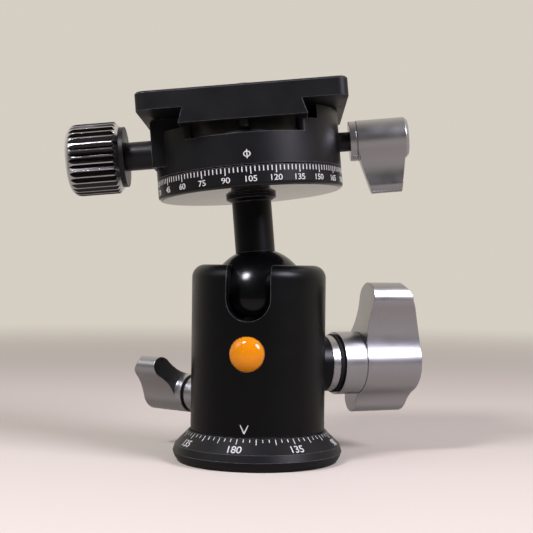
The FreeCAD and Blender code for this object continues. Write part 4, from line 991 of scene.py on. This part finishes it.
@dataclass
class PanningClamp:
    """The round clamp with its index, lever, moving jaw and knurled knob."""

    radius: float = 29.0
    mark_height: float = 41.7
    mark_turn: float = 0.7
    ring_outer: float = 1.1
    ring_inner: float = 0.78
    ring_squash: float = 0.82
    ring_sides: int = 28
    bar_half_depth: float = 0.032
    bar_half_height: float = 1.35
    bar_half_width: float = 0.15

    def index(self) -> None:
        """Adds the ring with a bar through it that points at the disc's dial."""
        shape = Shape()
        count = self.ring_sides
        rings = []
        for z in (-MARK_HALF_DEPTH, MARK_HALF_DEPTH):
            for reach in (self.ring_outer, self.ring_inner):
                rings.append([
                    (reach * math.sin(a), self.ring_squash * reach * math.cos(a), z)
                    for a in (2 * math.pi * i / count for i in range(count))
                ])
        points = [p for ring in rings for p in ring]
        faces = []
        for low, high in ((0, 1), (3, 2), (1, 3), (2, 0)):
            for i in range(count):
                after = (i + 1) % count
                faces.append((low * count + i, low * count + after,
                              high * count + after, high * count + i))
        shape.add(points, faces)
        w, h = self.bar_half_width, self.bar_half_height
        shape.bar(-w, w, -h, h, self.bar_half_depth)

        def place(flat: Vector) -> Vector:
            """Puts a flat point on the clamp's wall."""
            angle = math.radians(self.mark_turn) + flat.x / self.radius
            reach = self.radius + MARK_PROUD + flat.z
            local = Vector((reach * math.sin(angle), -reach * math.cos(angle),
                            self.mark_height + flat.y))
            return (CLAMP @ (local * MM)) / MM

        shape.mapped(place).piece("clamp_index", "clamp", WHITE_FILL, Axis.CLAMP)

    def build(self) -> None:
        """Dresses the clamp."""
        dress(SATIN_BLACK, Axis.CLAMP, "clamp_body")
        dress(PLAIN_STEEL, Axis.JAW, "guide_pins", "clamp_screw")
        dress(PLAIN_STEEL, Axis.JAW, "jaw_spring")
        dress(SATIN_BLACK, Axis.JAW, "moving_jaw")
        dress(BLACKENED_STEEL, Axis.JAW, "jaw_sleeve", "knob_disc")
        dress(CHROME_KNURL, Axis.JAW, "knurled_knob")
        dress(SATIN_SILVER, Axis.LEVER, "top_lever")
        dress(TURNED_SILVER, Axis.LEVER, "lever_ring")
        dress(BLACKENED_STEEL, Axis.LEVER, "lever_screw")
        dress(BRASS, Axis.LEVER, "lever_pad")
        self.index()


@dataclass
class Plate:
    """The quick-release plate with its pads and screws."""

    def build(self) -> None:
        """Dresses the plate."""
        dress(BLASTED_BLACK, Axis.CLAMP, "qr_plate")
        dress(BLACK_RUBBER, Axis.CLAMP, "plate_pads")
        dress(PLAIN_STEEL, Axis.CLAMP, "camera_screw", "screw_clip")
        dress(BLACKENED_STEEL, Axis.CLAMP, "stop_screws")


# ---------------------------------------------------------------- studio


@dataclass(frozen=True)
class Lamp:
    """One soft lamp, aimed at the object's middle."""

    name: str
    azimuth: float
    elevation: float
    distance: float
    size: float
    watts: float
    colour: Colour = (1.0, 1.0, 1.0)

    def build(self, target: Vector) -> None:
        """Places the lamp, with its azimuth in degrees from the camera's side to its right."""
        light = bpy.data.lights.new(self.name, "AREA")
        light.shape = "DISK"
        light.size = self.size
        light.energy = self.watts
        light.color = self.colour
        made = bpy.data.objects.new(self.name, light)
        bpy.context.scene.collection.objects.link(made)
        turn, rise = math.radians(self.azimuth + CAMERA_TURN), math.radians(self.elevation)
        way = Vector((
            math.sin(turn) * math.cos(rise), -math.cos(turn) * math.cos(rise), math.sin(rise)
        ))
        made.location = target + way * self.distance
        made.rotation_euler = way.to_track_quat("Z", "Y").to_euler()


@dataclass
class Studio:
    """The pale floor, the soft lamps, the surrounding light and the camera."""

    floor_colour: Colour = (0.66, 0.6, 0.53)
    surround: Colour = (0.67, 0.62, 0.55)
    ambient: float = 0.34
    room_behind_camera: float = 0.12
    # How bright mirrors see the floor before the object: painted shade on the floor.
    floor_before_object: float = 0.42
    floor_radius: float = 2.5
    fade_from: float = 0.25
    fade_to: float = 0.9
    camera_place: Point = (58.45, -356.9, 60.2)
    focal_pixels: float = 1149.3
    photo_pixels: float = 533.0
    lamps: tuple[Lamp, ...] = (
        Lamp("front_lamp", -42.0, 48.0, 0.55, 0.13, 2.2, (0.94, 0.91, 1.0)),
        Lamp("side_lamp", 52.0, 35.0, 0.8, 0.38, 6.8, (0.88, 0.85, 1.0)),
        Lamp("fill_lamp", -74.0, 34.0, 0.9, 0.5, 1.5, (0.84, 0.88, 1.0)),
    )

    def room(
        self, wire: Wiring, depth: bpy.types.NodeSocket, dim: float, front: float, rear: float
    ) -> bpy.types.NodeSocket:
        """Gives how bright the room looks in a mirror.

        Args:
            wire: The tree's wiring.
            depth: The place or way along the camera's view.
            dim: The brightness at the front.
            front: The depth up to which it stays dim.
            rear: The depth from which it is at its full brightness.

        Returns:
            The brightness, from dim to 1.
        """
        spread = wire.node("ShaderNodeMapRange", Value=depth)
        spread.inputs["From Min"].default_value = front
        spread.inputs["From Max"].default_value = rear
        return wire.span(spread.outputs["Result"], dim, 1.0)

    def floor(self) -> None:
        """Adds the round floor, which fades to the surround far from the object, and which mirrors
        see darker before the object as painted shade.
        """
        count = 96
        mesh = bpy.data.meshes.new("studio_floor")
        rim = [
            (self.floor_radius * math.cos(a), self.floor_radius * math.sin(a), 0.0)
            for a in (2 * math.pi * i / count for i in range(count))
        ]
        mesh.from_pydata(rim, [], [tuple(range(count))])
        floor = bpy.data.objects.new("studio_floor", mesh)
        bpy.context.scene.collection.objects.link(floor)
        made = bpy.data.materials.new("studio_floor")
        made.use_nodes = True
        wire = Wiring(made.node_tree)
        shader = made.node_tree.nodes["Principled BSDF"]
        shader.inputs["Roughness"].default_value = 0.7
        shader.inputs["Specular IOR Level"].default_value = 0.2
        glow = wire.node("ShaderNodeEmission", Color=(*self.surround, 1.0))
        where = wire.node("ShaderNodeTexCoord")
        place = wire.node("ShaderNodeSeparateXYZ", Vector=where.outputs["Object"])
        reach = wire.node(
            "ShaderNodeVectorMath", operation="LENGTH", Vector=where.outputs["Object"]
        )
        fade = wire.node("ShaderNodeMapRange", Value=reach.outputs["Value"])
        fade.interpolation_type = "SMOOTHSTEP"
        fade.inputs["From Min"].default_value = self.fade_from
        fade.inputs["From Max"].default_value = self.fade_to
        ray = wire.node("ShaderNodeLightPath")
        seen = wire.math("MAXIMUM", ray.outputs["Is Camera Ray"], ray.outputs["Is Glossy Ray"])
        mask = wire.math("MULTIPLY", fade.outputs["Result"], seen)
        # Glossy rays see the floor before the object darker than it is lit: painted shade, which
        # the metal mirrors.
        lit = self.room(wire, place.outputs["Y"], self.floor_before_object, -0.05, 0.35)
        mirrored = wire.math("MULTIPLY", ray.outputs["Is Glossy Ray"], lit)
        unlit = wire.math("SUBTRACT", ray.outputs["Is Glossy Ray"], mirrored)
        tone = wire.mix(unlit, (*self.floor_colour, 1.0), (0.0, 0.0, 0.0, 1.0))
        wire.feed(shader.inputs["Base Color"], tone)
        strength = wire.math("MAXIMUM", ray.outputs["Is Camera Ray"], mirrored)
        wire.feed(glow.inputs["Strength"], strength)
        mix = wire.node("ShaderNodeMixShader", Fac=mask)
        wire.feed(mix.inputs[1], shader.outputs[0])
        wire.feed(mix.inputs[2], glow.outputs[0])
        wire.feed(made.node_tree.nodes["Material Output"].inputs["Surface"], mix.outputs[0])
        mesh.materials.append(made)

    def world(self) -> None:
        """Sets the even light from all round, and the pale surround that rays see."""
        world = bpy.data.worlds.new("studio")
        bpy.context.scene.world = world
        world.use_nodes = True
        wire = Wiring(world.node_tree)
        back = world.node_tree.nodes["Background"]
        back.inputs["Color"].default_value = (*self.surround, 1.0)
        where = wire.node("ShaderNodeTexCoord")
        way = wire.node("ShaderNodeSeparateXYZ", Vector=where.outputs["Generated"])
        ray = wire.node("ShaderNodeLightPath")
        others = wire.math("SUBTRACT", 1.0, ray.outputs["Is Glossy Ray"])
        lit = self.room(wire, way.outputs["Y"], self.room_behind_camera, -0.55, 0.55)
        mirrored = wire.math("MULTIPLY", ray.outputs["Is Glossy Ray"], lit)
        plain = wire.math(
            "MULTIPLY", others, wire.span(ray.outputs["Is Camera Ray"], self.ambient, 1.0)
        )
        wire.feed(back.inputs["Strength"], wire.math("ADD", mirrored, plain))

    def camera(self) -> None:
        """Puts the camera where the photograph was taken from."""
        lens = bpy.data.cameras.new("camera")
        lens.sensor_width = 36.0
        lens.lens = self.focal_pixels / self.photo_pixels * lens.sensor_width
        lens.clip_start, lens.clip_end = 0.02, 20.0
        made = bpy.data.objects.new("camera", lens)
        bpy.context.scene.collection.objects.link(made)
        right = Vector((1.0, -0.007, 0.011)).normalized()
        ahead = Vector((0.0057, 1.0, 0.001)).normalized()
        up = right.cross(ahead).normalized()
        seen = Matrix((right, up, -ahead)).transposed()
        turn = Matrix.Rotation(math.radians(CAMERA_TURN), 3, "Z")
        place = Matrix.Translation(Vector(self.camera_place) * MM)
        made.matrix_world = place @ (turn @ seen).to_4x4()
        bpy.context.scene.camera = made

    def build(self) -> None:
        """Sets up the whole studio."""
        scene = bpy.context.scene
        scene.view_settings.view_transform = "Standard"
        self.floor()
        self.world()
        for lamp in self.lamps:
            lamp.build(Vector((0.0, 0.0, 0.055)))
        self.camera()


def main() -> None:
    """Builds the studio and dresses each sub-assembly."""
    logging.basicConfig(level=logging.INFO, format="%(name)s: %(message)s")
    Studio().build()
    for part in (Foot(), Housing(), Knobs(), BallAndStem(), PanningClamp(), Plate()):
        part.build()
        LOG.info("built %s", type(part).__name__)
    bare = [n for n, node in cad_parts.items() if "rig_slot" not in node]
    LOG.info("nodes without a finish: %s", bare)


if __name__ == "__main__":
    main()
